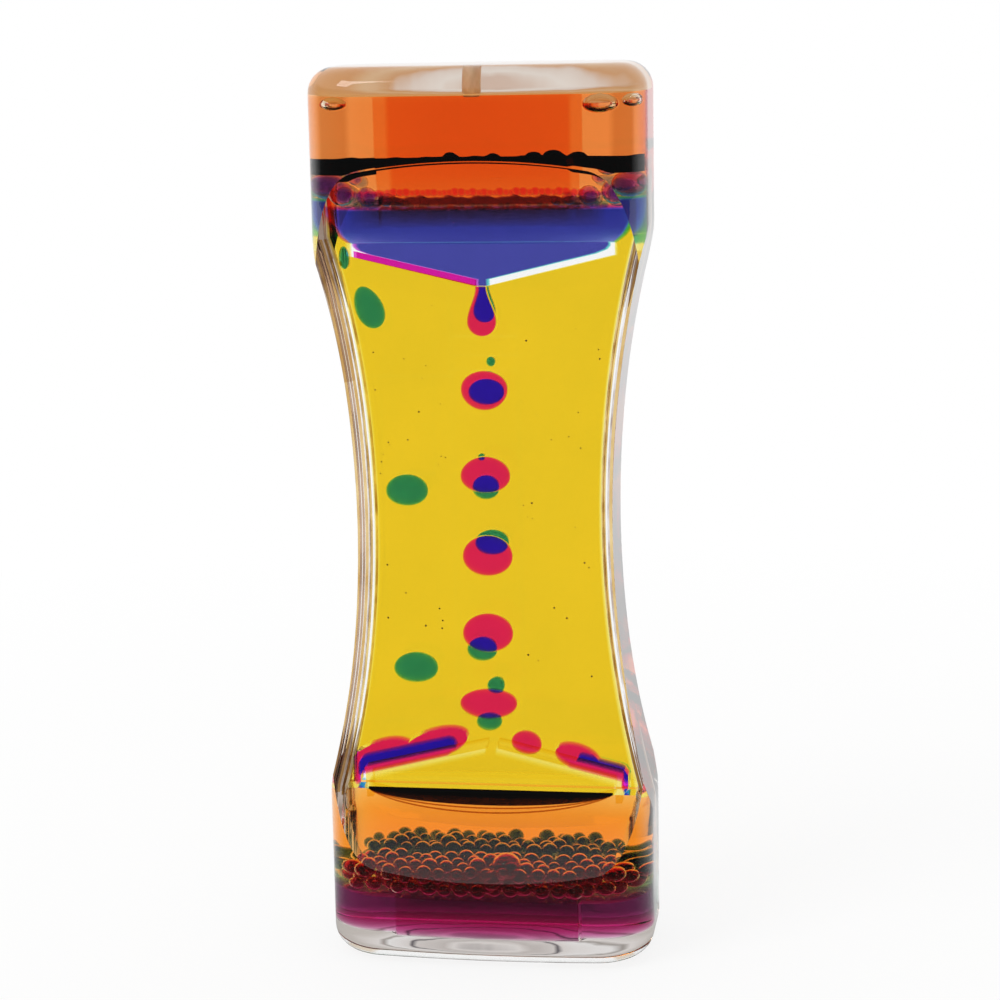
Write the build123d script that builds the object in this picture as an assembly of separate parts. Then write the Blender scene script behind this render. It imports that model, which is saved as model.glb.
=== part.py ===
from build123d import *

import os
from math import asin, cos, radians, sin, sqrt, tan

# Liquid motion timer: a clear waisted block with two thin chambers, one behind the other.
# Millimetres, +Z up, -Y to the front. The origin is the middle of the base.

# Outside of the block
HEIGHT = 140.0
WIDTH = 51.6
DEPTH = 28.0
FACE_CROWN = 1.4  # how far the front and back bulge at their middle
CORNER_RADIUS = 9.0  # upright corners, seen from above
EDGE_RADIUS = 4.0  # rounding of the rims of both ends
SIDE_HOLLOW = 5.8  # how far each side is drawn in at the waist
SIDE_HOLLOW_HALF = 45.0  # half the height of the hollow side
WAIST_DEPTH = 12.2  # front to back at the waist
WAIST_FLAT_HALF = 18.5  # half the height of the flat part of the waist
SCOOP_HALF = 56.0  # half the height of the scooped front and back
FOOT_LENGTH = 28.0  # shallow recess under the base
FOOT_WIDTH = 12.0
FOOT_RECESS = 0.8

# Walls and chambers
SIDE_WALL = 2.3
END_WALL = 4.0
CAVITY_EDGE = 1.5  # rounding inside the ends of the reservoirs
DIVIDER = 1.2
DIVIDER_SEAT = 1.0  # how far the divider is let into the walls
CHANNEL_DEPTH = 3.3  # each thin chamber, front to back
LEDGE_HALF = 44.0  # from the middle height to the floor of a reservoir

# Filling plugs
PLUG_DIAMETER = 2.8
PLUG_OFFSET = 7.0  # from the divider's middle plane
PLUG_REACH = 0.7  # how far a plug stands into its reservoir
PLUG_FIT = 0.05

# Ramps
RAMP_THICK = 1.0
RAMP_SLOPE = 14.0  # degrees
RAMP_DROP = 7.0  # nozzle tip beyond the reservoir floor
RAMP_LIP = 2.4  # how far the lips stand into the reservoir
NOZZLE_GAP = 1.7
PASSAGE = 2.5  # way for the rising oil beside each lip

# Water, at the moment of the photograph
UPPER_POOL_RISE = 5.8  # above the upper reservoir's floor
LOWER_POOL_RISE = 6.5  # above the lower end wall
FOAM_LAYER = 3.4
FOAM_DROP = 2.5
FOAM_PITCH = 3.1
FOAM_LEAST = 0.7  # the smallest foam drop as a share of the largest
FOAM_TURN = 2.4  # step of the wave that sets the foam drops' sizes, in radians
CLEAR = 0.3  # between a moving drop and what it passes
SMALL_DROP_DEPTH = 0.9  # depth of a small drop as a share of its height
DROP_ROUNDING = 0.4  # radius of a drop's rim as a share of its depth
TIP_ROUNDING = 0.8  # most of a drop's tightest bend that its rim takes
HANGING_LENGTH = 8.0
HANGING_WIDTH = 4.5
PUDDLE_THICK = 1.9
LEFT_PUDDLE_START = 3.2
RIGHT_PUDDLE_START = 10.4
PUDDLE_END_GAP = 0.6  # from a puddle to the end of its ramp
RAMP_DROP_PLACE = 5.8
RAMP_DROP_SIZE = (4.9, 3.6)
FALL_SLOT = 10.4  # way of a middle row through the oil
SIDE_SLOT = 8.4
SIDE_SLOT_GAP = 0.9  # from the side row's way to the side wall at the waist
SIDE_SLOT_SPAN = (0.20, 0.96)

# Each drop: share of the way from nozzle to roof, offset to the right, width, height
FRONT_ROW = (
    (0.224, 0.1, 7.3, 6.2),
    (0.403, 0.0, 7.8, 5.7),
    (0.577, 0.1, 7.9, 6.4),
    (0.745, -0.1, 8.0, 6.2),
    (0.903, -0.2, 9.1, 4.8),
)
REAR_ROW = (
    (0.166, 0.8, 1.4, 1.6),
    (0.232, 0.0, 5.7, 4.2),
    (0.372, -1.0, 1.1, 1.1),
    (0.437, -0.4, 4.3, 3.8),
    (0.556, 0.4, 5.4, 4.0),
    (0.791, -1.5, 4.8, 3.9),
    (0.873, 0.6, 2.8, 2.6),
)
SIDE_ROW = (
    (0.445, -0.4, 6.7, 5.0),
    (0.836, 0.3, 7.1, 5.0),
)
WALL_DROP = (0.047, 2.7, 3.6, 6.2)  # its offset is from the side wall
WALL_DROP_TILT = 20.0  # degrees
ROOF_DROP = (0.958, -0.6, 4.1, 2.8)

# Worked out from the sizes above
MID = HEIGHT / 2
side_radius = (SIDE_HOLLOW_HALF**2 + SIDE_HOLLOW**2) / (2 * SIDE_HOLLOW)
scoop_depth = (DEPTH - WAIST_DEPTH) / 2
scoop_run = SCOOP_HALF - WAIST_FLAT_HALF
scoop_radius = (scoop_run**2 + scoop_depth**2) / (2 * scoop_depth)
ledge_top = MID + LEDGE_HALF
ledge_bottom = MID - LEDGE_HALF
channel_far = DIVIDER / 2 + CHANNEL_DEPTH
nozzle_tip = ledge_top - RAMP_DROP
roof_tip = HEIGHT - nozzle_tip
slope = tan(radians(RAMP_SLOPE))
fall = nozzle_tip - roof_tip


def side_wall_x(z, inset):
    """Half the width of the block at height z, inset by a wall."""
    off = abs(z - MID)
    if off >= SIDE_HOLLOW_HALF:
        return WIDTH / 2 - inset
    hollow = sqrt((side_radius + inset) ** 2 - off**2) - (side_radius - SIDE_HOLLOW)
    return WIDTH / 2 - hollow


def scoop_y(z, inset):
    """Distance of the front or back face from the middle plane at height z."""
    off = max(abs(z - MID) - WAIST_FLAT_HALF, 0)
    radius = scoop_radius + inset
    if off >= sqrt(radius**2 - (radius - scoop_depth) ** 2):
        return DEPTH / 2 - inset
    return WAIST_DEPTH / 2 - inset + radius - sqrt(radius**2 - off**2)


def plan(inset):
    """The block seen from above: crowned front and back, rounded corners."""
    half = WIDTH / 2 - inset
    crown = DEPTH / 2 - inset
    shoulder = crown - FACE_CROWN
    face = make_face(
        [
            ThreePointArc((-half, -shoulder), (0, -crown), (half, -shoulder)),
            Line((half, -shoulder), (half, shoulder)),
            ThreePointArc((half, shoulder), (0, crown), (-half, shoulder)),
            Line((-half, shoulder), (-half, -shoulder)),
        ]
    )
    return fillet(face.vertices(), CORNER_RADIUS - inset)


def scoop(front, inset):
    """The hollow cut from the front (-1) or the back (1)."""
    radius = scoop_radius + inset
    near = WAIST_DEPTH / 2 - inset
    far = DEPTH / 2 + 1
    turn = asin(sqrt(radius**2 - (radius - (far - near)) ** 2) / radius)

    def on_arc(angle, up):
        out = near + radius * (1 - cos(angle))
        return front * out, MID + up * (WAIST_FLAT_HALF + radius * sin(angle))

    outline = make_face(
        [
            ThreePointArc(on_arc(0, -1), on_arc(turn / 2, -1), on_arc(turn, -1)),
            Line(on_arc(turn, -1), on_arc(turn, 1)),
            ThreePointArc(on_arc(turn, 1), on_arc(turn / 2, 1), on_arc(0, 1)),
            Line(on_arc(0, 1), on_arc(0, -1)),
        ]
    )
    return extrude(Plane.YZ * outline, WIDTH, both=True)


def hourglass(inset, end_inset, rim):
    """The waisted block, inset by a wall all round."""
    block = extrude(Pos(0, 0, end_inset) * plan(inset), HEIGHT - 2 * end_inset)
    ends = block.faces().sort_by(Axis.Z)
    block = fillet(ends[0].edges() + ends[-1].edges(), rim)
    for side in (-1, 1):
        place = Pos(side * (WIDTH / 2 - SIDE_HOLLOW + side_radius), 0, MID)
        block -= place * Rot(90, 0, 0) * Cylinder(side_radius + inset, 2 * DEPTH)
        block -= scoop(side, inset)
    return block


def slab(low, high, near, far, front):
    """A wide box between two heights and two distances from the middle plane."""
    box = Box(2 * WIDTH, far - near, high - low)
    return Pos(0, front * (near + far) / 2, (low + high) / 2) * box


def across(points, front):
    """An outline in X and Z, as deep as a thin chamber."""
    face = make_face(Polyline(*points, close=True))
    solid = extrude(Plane.XZ * face, CHANNEL_DEPTH)
    return Pos(0, -DIVIDER / 2 if front < 0 else channel_far, 0) * solid


def flipped(points):
    """The same outline with the timer turned over."""
    return [(x, HEIGHT - z) for x, z in points]


# Outline of the upper right ramp, from its nozzle edge to its lip
gap = NOZZLE_GAP / 2
reach = side_wall_x(ledge_top, SIDE_WALL) - PASSAGE
thick_up = RAMP_THICK / cos(radians(RAMP_SLOPE))
lip_in = reach - RAMP_THICK
lip_end = ledge_top + RAMP_LIP
ramp_out = nozzle_tip + (reach - gap) * slope
ramp_in = nozzle_tip + (lip_in - gap) * slope + thick_up
throat = nozzle_tip + thick_up
RAMP_OUTLINE = [
    (gap, nozzle_tip),
    (reach, ramp_out),
    (reach, lip_end),
    (lip_in, lip_end),
    (lip_in, ramp_in),
    (gap, throat),
]
FUNNEL_OUTLINE = [
    (gap, nozzle_tip),
    (gap, throat),
    (lip_in, ramp_in),
    (lip_in, ledge_top),
    (-lip_in, ledge_top),
    (-lip_in, ramp_in),
    (-gap, throat),
    (-gap, nozzle_tip),
]


def ramp(front, upper, side):
    outline = [(side * x, z) for x, z in RAMP_OUTLINE]
    return across(outline if upper else flipped(outline), front)


def roof_z(x):
    """Top of the lower ramps at a distance from the middle."""
    return HEIGHT - nozzle_tip - (abs(x) - gap) * slope


def row_z(share):
    return nozzle_tip - share * fall


def drop(front, x, z, width, height, tilt=0):
    """A drop squeezed between the walls of its chamber, close to the divider."""
    thick = min(CHANNEL_DEPTH - 2 * CLEAR, SMALL_DROP_DEPTH * height)
    blank = extrude(Ellipse(width / 2, height / 2), thick / 2, both=True)
    rims = [edge for edge in blank.edges() if edge.geom_type == GeomType.ELLIPSE]
    rims = rims or [edge for edge in blank.edges() if edge.geom_type == GeomType.CIRCLE]
    tightest = min(width, height) ** 2 / (2 * max(width, height))
    blank = fillet(rims, min(DROP_ROUNDING * thick, TIP_ROUNDING * tightest))
    place = Pos(x, front * (DIVIDER / 2 + CLEAR + thick / 2), z)
    return place * Rot(0, tilt, 0) * Rot(90, 0, 0) * blank


def hanging_drop(front):
    """The drop that grows under a nozzle."""
    radius = HANGING_WIDTH / 2
    centre = nozzle_tip - HANGING_LENGTH + radius
    outline = make_face(
        [
            Line((-gap, nozzle_tip), (gap, nozzle_tip)),
            Line((gap, nozzle_tip), (radius, centre)),
            ThreePointArc((radius, centre), (0, centre - radius), (-radius, centre)),
            Line((-radius, centre), (-gap, nozzle_tip)),
        ]
    )
    solid = extrude(Plane.XZ * outline, CHANNEL_DEPTH - 2 * CLEAR)
    near = DIVIDER / 2 + CLEAR
    return Pos(0, -near if front < 0 else channel_far - CLEAR, 0) * solid


def puddle(front, side, start):
    """Water running down a lower ramp."""
    end = lip_in - PUDDLE_END_GAP
    nose = start + PUDDLE_THICK
    tail = end - PUDDLE_THICK
    outline = [
        (start, roof_z(start)),
        (nose, roof_z(nose) + PUDDLE_THICK),
        (tail, roof_z(tail) + PUDDLE_THICK),
        (end, roof_z(end)),
    ]
    return across([(side * x, z) for x, z in outline], front)


def foam(front, low):
    """Small drops lying on a pool, in staggered rows."""
    level = low + FOAM_DROP / 2 + CLEAR / 2
    room = scoop_y(low + FOAM_LAYER, SIDE_WALL) - FACE_CROWN - DIVIDER / 2 - 2 * CLEAR
    span = side_wall_x(low, SIDE_WALL) - CORNER_RADIUS / 2
    rows = max(int(room / FOAM_PITCH), 1)
    columns = int(2 * span / FOAM_PITCH)
    drops = []
    for row in range(rows):
        y = front * (DIVIDER / 2 + 2 * CLEAR + FOAM_DROP / 2 + row * FOAM_PITCH)
        for column in range(columns - row % 2):
            x = (column - (columns - 1 - row % 2) / 2) * FOAM_PITCH
            shrink = FOAM_LEAST + (1 - FOAM_LEAST) * cos(FOAM_TURN * column + row) ** 2
            radius = shrink * FOAM_DROP / 2
            drops.append(Pos(x, y, level - FOAM_DROP / 2 + radius) * Sphere(radius))
    return Compound(drops)


def chamber(front):
    """The hollow of one half: two reservoirs and the thin chamber between them."""
    hollow = inside & slab(ledge_bottom, ledge_top, DIVIDER / 2, channel_far, front)
    for low, high in ((END_WALL, ledge_bottom), (ledge_top, HEIGHT - END_WALL)):
        hollow += inside & slab(low, high, DIVIDER / 2, DEPTH, front)
    return hollow


def plug(front, extra):
    """A filling plug, or its hole with the fit added."""
    length = END_WALL + PLUG_REACH
    place = Pos(0, front * PLUG_OFFSET, HEIGHT - length)
    align = (Align.CENTER, Align.CENTER, Align.MIN)
    return place * Cylinder(PLUG_DIAMETER / 2 + extra, length, align=align)


nodes = {}
outside = hourglass(0, 0, EDGE_RADIUS)
outside -= extrude(SlotOverall(FOOT_LENGTH, FOOT_WIDTH), FOOT_RECESS)
inside = hourglass(SIDE_WALL, END_WALL, CAVITY_EDGE)
groove = hourglass(SIDE_WALL - DIVIDER_SEAT, END_WALL - DIVIDER_SEAT, CAVITY_EDGE)
divider = groove & slab(0, HEIGHT, -DIVIDER / 2, DIVIDER / 2, 1)
nodes["divider_plate"] = divider

for name, front, row in (("front", -1, FRONT_ROW), ("rear", 1, REAR_ROW)):
    hollow = chamber(front)
    shell = outside & slab(0, HEIGHT, 0, DEPTH, front)
    nodes[f"{name}_shell"] = shell - divider - hollow - plug(front, PLUG_FIT)
    nodes[f"{name}_fill_plug"] = plug(front, 0)

    ramps = {}
    for upper in (True, False):
        for side, hand in ((-1, "left"), (1, "right")):
            end = "upper" if upper else "lower"
            ramps[f"{name}_{end}_{hand}_ramp"] = ramp(front, upper, side)
    nodes.update(ramps)

    upper_level = ledge_top + UPPER_POOL_RISE
    lower_level = END_WALL + LOWER_POOL_RISE
    above = inside & slab(ledge_top, upper_level, DIVIDER / 2, DEPTH, front)
    upper_pool = above + across(FUNNEL_OUTLINE, front)
    for piece in ramps.values():
        upper_pool -= piece
    nodes[f"{name}_upper_pool"] = upper_pool
    nodes[f"{name}_lower_pool"] = inside & slab(END_WALL, lower_level, DIVIDER / 2, DEPTH, front)
    nodes[f"{name}_upper_foam"] = foam(front, upper_level)
    nodes[f"{name}_lower_foam"] = foam(front, lower_level)
    nodes[f"{name}_hanging_drop"] = hanging_drop(front)
    nodes[f"{name}_left_puddle"] = puddle(front, -1, LEFT_PUDDLE_START)
    nodes[f"{name}_right_puddle"] = puddle(front, 1, RIGHT_PUDDLE_START)
    for number, (share, x, width, height) in enumerate(row, 1):
        nodes[f"{name}_drop_{number}"] = drop(front, x, row_z(share), width, height)

    # The oil fills the rest of the hollow and leaves the drops their way down
    oil = hollow - plug(front, PLUG_FIT)
    for level in (upper_level, lower_level):
        oil -= slab(level, level + FOAM_LAYER, DIVIDER / 2, DEPTH, front)
    for piece in ("upper_pool", "lower_pool", "left_puddle", "right_puddle"):
        oil -= nodes[f"{name}_{piece}"]
    for piece in ramps.values():
        oil -= piece
    half = FALL_SLOT / 2
    way = [
        (-half, nozzle_tip),
        (half, nozzle_tip),
        (half, roof_z(half)),
        (0, roof_tip),
        (-half, roof_z(half)),
    ]
    oil -= across(way, front)
    nodes[f"{name}_oil"] = oil

# The second row of the rear chamber, on the left, and the drops on its side wall and roof
left = SIDE_SLOT_GAP - side_wall_x(MID, SIDE_WALL)
right = left + SIDE_SLOT
high, low = (row_z(share) for share in SIDE_SLOT_SPAN)
nodes["rear_oil"] -= across([(left, high), (right, high), (right, low), (left, low)], 1)
for number, (share, x, width, height) in enumerate(SIDE_ROW, 1):
    nodes[f"side_drop_{number}"] = drop(1, (left + right) / 2 + x, row_z(share), width, height)
share, x, width, height = ROOF_DROP
nodes["roof_drop"] = drop(1, x, row_z(share), width, height)
share, x, width, height = WALL_DROP
wall = side_wall_x(row_z(share), SIDE_WALL)
nodes["wall_drop"] = drop(1, x - wall, row_z(share), width, height, tilt=-WALL_DROP_TILT)
nodes["rear_oil"] -= nodes["wall_drop"]

# The drop that slides down the right lower ramp, and its way through the oil
width, height = RAMP_DROP_SIZE
along = radians(RAMP_SLOPE)
lift = (height / 2 + CLEAR) / cos(along)
nodes["ramp_drop"] = drop(
    -1, RAMP_DROP_PLACE, roof_z(RAMP_DROP_PLACE) + lift, width, height, tilt=RAMP_SLOPE
)
top = height + 3 * CLEAR
start, end = half, RIGHT_PUDDLE_START
way = [
    (start, roof_z(start)),
    (end, roof_z(end)),
    (end, roof_z(end) + top),
    (start, roof_z(start) + top),
]
nodes["front_oil"] -= across(way, -1)

os.makedirs("parts", exist_ok=True)
for name, solid in nodes.items():
    export_step(Compound(solid.solids()), f"parts/{name}.step")
print(len(nodes), "nodes, nozzle", round(nozzle_tip, 2), "roof", round(roof_tip, 2))
print("funnel reach", round(reach, 2), "fall", round(fall, 2))
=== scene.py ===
# %% [markdown]
# # A liquid motion timer
# The timer is a sealed, waisted block of clear acrylic. Two thin chambers stand one behind the
# other inside it, filled with yellow oil. Magenta water drips through the front chamber and cyan
# water through the rear one. All the colour is light that has passed through liquid, so this
# lesson builds the liquids as closed bodies that tint light by depth, and lets the block bend it.

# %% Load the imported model
import bpy
import math
import random
from mathutils import Matrix, Vector


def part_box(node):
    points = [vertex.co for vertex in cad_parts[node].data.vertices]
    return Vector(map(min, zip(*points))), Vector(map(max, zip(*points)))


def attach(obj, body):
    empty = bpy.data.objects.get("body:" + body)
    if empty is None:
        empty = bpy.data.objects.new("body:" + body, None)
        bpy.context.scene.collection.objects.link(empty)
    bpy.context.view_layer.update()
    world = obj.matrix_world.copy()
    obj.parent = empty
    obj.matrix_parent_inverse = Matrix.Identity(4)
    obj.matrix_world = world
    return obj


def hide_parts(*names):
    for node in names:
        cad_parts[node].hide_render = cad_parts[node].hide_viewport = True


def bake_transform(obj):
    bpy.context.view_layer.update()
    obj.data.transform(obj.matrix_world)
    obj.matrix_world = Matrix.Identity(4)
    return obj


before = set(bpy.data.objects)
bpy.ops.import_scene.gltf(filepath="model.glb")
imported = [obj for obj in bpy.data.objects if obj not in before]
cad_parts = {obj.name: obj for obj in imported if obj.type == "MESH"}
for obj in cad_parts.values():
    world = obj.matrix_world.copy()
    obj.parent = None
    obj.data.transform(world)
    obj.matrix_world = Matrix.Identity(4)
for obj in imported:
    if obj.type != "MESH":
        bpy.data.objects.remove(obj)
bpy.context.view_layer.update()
MM = 0.001  # this lesson counts in millimetres


# %% Measure a modelled piece
def corners_of(node):
    """Its two outermost corners, in millimetres."""
    return [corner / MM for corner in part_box(node)]


def foot_of(node):
    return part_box(node)[0].z / MM


def top_of(node):
    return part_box(node)[1].z / MM


print("the upper pool stands at", round(top_of("front_upper_pool"), 1), "mm")

# %% [markdown]
# ## The camera
# The timer is seen from a little to the right of its front, from just above its top, with a long
# lens. A camera can be aimed with a constraint, but a matrix of its right, up and back directions
# also takes the small tilt of the picture, so it is built that way here.

# %% Directions of the view
AIM = Vector((0, 0, 70)) * MM
AZIMUTH = math.radians(9.0)
PITCH = math.radians(11.7)
ROLL = math.radians(-1.2)
DISTANCE = 390 * MM
FOCAL_PIXELS = 2480
PICTURE = 1000  # pixels each way
AXIS_PIXEL = (490, 515)  # where the aim point falls in the picture

forward = Vector(
    (
        -math.sin(AZIMUTH) * math.cos(PITCH),
        math.cos(AZIMUTH) * math.cos(PITCH),
        -math.sin(PITCH),
    )
)
level_right = Vector((math.cos(AZIMUTH), math.sin(AZIMUTH), 0))
level_up = level_right.cross(forward)
right = level_right * math.cos(ROLL) + level_up * math.sin(ROLL)
up = right.cross(forward)
eye = AIM - forward * DISTANCE
off_x = (PICTURE / 2 - AXIS_PIXEL[0]) / FOCAL_PIXELS
off_y = (PICTURE / 2 - AXIS_PIXEL[1]) / FOCAL_PIXELS
aimed = (forward + right * off_x - up * off_y).normalized()
right = (right - aimed * right.dot(aimed)).normalized()
up = right.cross(aimed)
print("eye at", [round(v, 3) for v in eye])

# %% Set up the camera
SENSOR = 36
CLIP_START = 10 * MM

camera_data = bpy.data.cameras.new("camera")
camera_data.sensor_width = SENSOR
camera_data.lens = SENSOR * FOCAL_PIXELS / PICTURE
camera_data.clip_start = CLIP_START
camera = bpy.data.objects.new("camera", camera_data)
bpy.context.scene.collection.objects.link(camera)
camera.matrix_world = Matrix(
    (
        (right.x, up.x, -aimed.x, eye.x),
        (right.y, up.y, -aimed.y, eye.y),
        (right.z, up.z, -aimed.z, eye.z),
        (0, 0, 0, 1),
    )
)
bpy.context.scene.camera = camera
print("lens", round(camera_data.lens, 1), "mm")

# %% [markdown]
# ## The form of the block
# The block is a rounded slab whose sides are hollowed by a large circle and whose front and back
# are scooped to a flat waist. The same few curves, set in by a wall, also bound the liquids, so
# they are written once as functions of height and inset.

# %% Outer sizes
shell_low, shell_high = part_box("front_shell")
HEIGHT = shell_high.z / MM
WIDTH = (shell_high.x - shell_low.x) / MM
DEPTH = -2 * shell_low.y / MM
MID = HEIGHT / 2
SIDE_HOLLOW = 5.8
SIDE_HOLLOW_HALF = 45.0
WAIST_DEPTH = 12.2
WAIST_FLAT_HALF = 18.5
SCOOP_HALF = 56.0
FACE_CROWN = 1.4
CORNER_RADIUS = 9.0
EDGE_RADIUS = 4.0
side_radius = (SIDE_HOLLOW_HALF**2 + SIDE_HOLLOW**2) / (2 * SIDE_HOLLOW)
scoop_depth = (DEPTH - WAIST_DEPTH) / 2
scoop_run = SCOOP_HALF - WAIST_FLAT_HALF
scoop_radius = (scoop_run**2 + scoop_depth**2) / (2 * scoop_depth)
print("block", round(WIDTH, 1), "x", round(DEPTH, 1), "x", round(HEIGHT, 1), "mm")


# %% Curves of the block
def half_width(z, inset):
    """Half the width at a height."""
    off = abs(z - MID)
    if off >= SIDE_HOLLOW_HALF:
        return WIDTH / 2 - inset
    return WIDTH / 2 - math.sqrt((side_radius + inset) ** 2 - off**2) + side_radius - SIDE_HOLLOW


def scoop_y(z, inset):
    """Half the depth that the scoops leave at a height."""
    off = max(abs(z - MID) - WAIST_FLAT_HALF, 0)
    radius = scoop_radius + inset
    if off >= radius:
        return DEPTH
    return WAIST_DEPTH / 2 - inset + radius - math.sqrt(radius**2 - off**2)


def crown_y(x, inset):
    """Half the depth of the ends, which bulge a little and have round corners."""
    half = WIDTH / 2 - inset
    crown = DEPTH / 2 - inset
    corner = CORNER_RADIUS - inset
    bow = (half**2 + FACE_CROWN**2) / (2 * FACE_CROWN)
    corner_x = half - corner
    corner_y = crown - bow + math.sqrt((bow - corner) ** 2 - corner_x**2)
    x = min(abs(x), half)
    if x <= corner_x * bow / (bow - corner):
        return crown - bow + math.sqrt(bow**2 - x**2)
    return corner_y + math.sqrt(max(corner**2 - (x - corner_x) ** 2, 0))


def face_y(x, z, inset):
    return min(crown_y(x, inset), scoop_y(z, inset))


print("waist", round(2 * half_width(MID, 0), 1), "x", round(2 * face_y(0, MID, 0), 1), "mm")

# %% The crease where a scoop runs out
HALVINGS = 40


def crease(u, inset):
    """Its height above the middle, at a share of the width."""
    low, high = WAIST_FLAT_HALF, SCOOP_HALF + inset
    for _ in range(HALVINGS):
        off = (low + high) / 2
        x = u * half_width(MID + off, inset)
        if scoop_y(MID + off, inset) < crown_y(x, inset):
            low = off
        else:
            high = off
    return (low + high) / 2


print("scoop runs out", round(crease(0, 0), 1), "mm from the middle,",
      round(crease(1, 0), 1), "at the sides")

# %% [markdown]
# ## Mesh helpers
# A liquid body is a closed shell, and a drop's cavity inside it is a second shell turned inside
# out, so that the two liquids never lie on top of each other. Boolean modifiers could cut the drops
# out, but a turned shell is exact and quick. Signed volume tells which way a shell faces.

# %% Closed shells
GAP = 0.03  # gap between two liquids
HAIR = 0.006  # and between two parts of one


def shell(points, faces, inward=False):
    volume = 0
    for face in faces:
        a = points[face[0]]
        for i in range(1, len(face) - 1):
            b, c = points[face[i]], points[face[i + 1]]
            volume += (
                a[0] * (b[1] * c[2] - b[2] * c[1])
                + a[1] * (b[2] * c[0] - b[0] * c[2])
                + a[2] * (b[0] * c[1] - b[1] * c[0])
            )
    if (volume < 0) != inward:
        faces = [face[::-1] for face in faces]
    return points, faces


def loft(rings, inward=False):
    """A closed shell through rings of equally many points."""
    count = len(rings[0])
    points = [point for ring in rings for point in ring]
    faces = []
    for row in range(len(rings) - 1):
        for i in range(count):
            a = row * count + i
            b = row * count + (i + 1) % count
            faces.append((a, b, b + count, a + count))
    last = (len(rings) - 1) * count
    faces.append(tuple(range(count - 1, -1, -1)))
    faces.append(tuple(range(last, last + count)))
    return shell(points, faces, inward)


def between(low, high, count):
    """Steps from low to high without the last."""
    return [low + (high - low) * i / count for i in range(count)]


def column_shares(count):
    """Shares of the half width from -1 to 1, closer together towards the sides."""
    return [math.sin(math.pi / 2 * (2 * i / count - 1)) for i in range(count + 1)]


print("liquids are", GAP, "mm apart")

# %% Pieces from shells
BALL_SHARP = 60  # degrees up to which an edge of a ball of few faces is smoothed


def piece(name, shells, material, sharp=20, body="case", nodes=(), blend=None):
    """One object from closed shells, riding on a body, or left where it stands when a blend is
    given.
    """
    points, faces = [], []
    for more_points, more_faces in shells:
        start = len(points)
        points += [tuple(v * MM for v in point) for point in more_points]
        faces += [tuple(i + start for i in face) for face in more_faces]
    mesh = bpy.data.meshes.new(name)
    mesh.from_pydata(points, [], faces)
    mesh.shade_smooth()
    mesh.set_sharp_from_angle(angle=math.radians(sharp))
    mesh.materials.append(material)
    obj = bpy.data.objects.new(name, mesh)
    bpy.context.scene.collection.objects.link(obj)
    if blend:
        first, second, start, end = blend
        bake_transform(obj)
    else:
        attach(obj, body)
    if nodes:
        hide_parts(*nodes)
    return obj


# %% [markdown]
# ## Shared finishes
# Moulded acrylic, glue and dust are never quite even. One node group gives a cloudy shade for all
# of them: it is a faint tint in the acrylic, the painted streaks of the room in the side walls, and
# the height of the slow ripple that bends what is seen through the block. A painted image could do
# the same, but a group has no pixels and takes its own scale in each material.

# %% Node helpers
WHITE = (1, 1, 1)


def feed(tree, value, socket):
    """Link a socket to another node, or set it to a number, a vector or a colour."""
    if isinstance(value, bpy.types.NodeSocket):
        tree.links.new(value, socket)
    else:
        socket.default_value = (*value, 1) if isinstance(value, tuple) else value


def add_node(tree, kind, values, **settings):
    """A node with its settings made and its inputs fed, by their names or numbers."""
    node = tree.nodes.new("ShaderNode" + kind)
    for label, setting in settings.items():
        setattr(node, label, setting)
    for label, value in values.items():
        feed(tree, value, node.inputs[label])
    return node


def math_node(tree, operation, *values):
    return add_node(tree, "Math", dict(enumerate(values)), operation=operation).outputs[0]


def vector_node(tree, operation, *values):
    node = add_node(tree, "VectorMath", dict(enumerate(values)), operation=operation)
    return node.outputs["Value" if operation == "LENGTH" else "Vector"]


def span_node(tree, value, low, high, first=0, last=1):
    """A value that runs from low to high, made to run from first to last."""
    ends = {"From Min": low, "From Max": high, "To Min": first, "To Max": last}
    return add_node(tree, "MapRange", {"Value": value, **ends}).outputs["Result"]


def mix_colours(tree, share, first, second):
    ends = {"Factor": share, "A": first, "B": second}
    return add_node(tree, "Mix", ends, data_type="RGBA").outputs["Result"]


def place_node(tree, kind="Object"):
    return tree.nodes.new("ShaderNodeTexCoord").outputs[kind]


# %% The cloudiness group
CLOUD_DETAIL = 3
CLOUD_RANGE = 0.3, 0.7  # the noise seldom leaves this range


def cloud_group():
    tree = bpy.data.node_groups.new("cloudiness", "ShaderNodeTree")
    for label, value in (("Scale", 200), ("Low", 0), ("High", 1)):
        socket = tree.interface.new_socket(label, in_out="INPUT", socket_type="NodeSocketFloat")
        socket.default_value = value
    tree.interface.new_socket("Shade", in_out="OUTPUT", socket_type="NodeSocketFloat")
    asked = tree.nodes.new("NodeGroupInput").outputs
    where = {"Vector": place_node(tree), "Scale": asked["Scale"], "Detail": CLOUD_DETAIL}
    noise = add_node(tree, "TexNoise", where).outputs["Fac"]
    shade = span_node(tree, noise, *CLOUD_RANGE, asked["Low"], asked["High"])
    tree.links.new(shade, tree.nodes.new("NodeGroupOutput").inputs["Shade"])
    return tree


CLOUD = cloud_group()
print("node groups:", [g.name for g in bpy.data.node_groups])


# %% Material helpers
def add_cloud(tree, scale, low=0, high=1):
    values = {"Scale": scale, "Low": low, "High": high}
    return add_node(tree, "Group", values, node_tree=CLOUD).outputs["Shade"]


def new_material(name, finish):
    """A material whose surface has the plain values of a finish."""
    material = bpy.data.materials.new(name)
    material.use_nodes = True
    tree = material.node_tree
    surface = tree.nodes["Principled BSDF"]
    for label, value in finish.items():
        feed(tree, value, surface.inputs[label])
    return material, tree, surface


def cloudy_material(name, scale, dark, light, finish, colour="Base Color"):
    """A material of which one colour drifts between two shades."""
    material, tree, surface = new_material(name, finish)
    tint = mix_colours(tree, add_cloud(tree, scale), dark, light)
    tree.links.new(tint, surface.inputs[colour])
    return material


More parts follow.
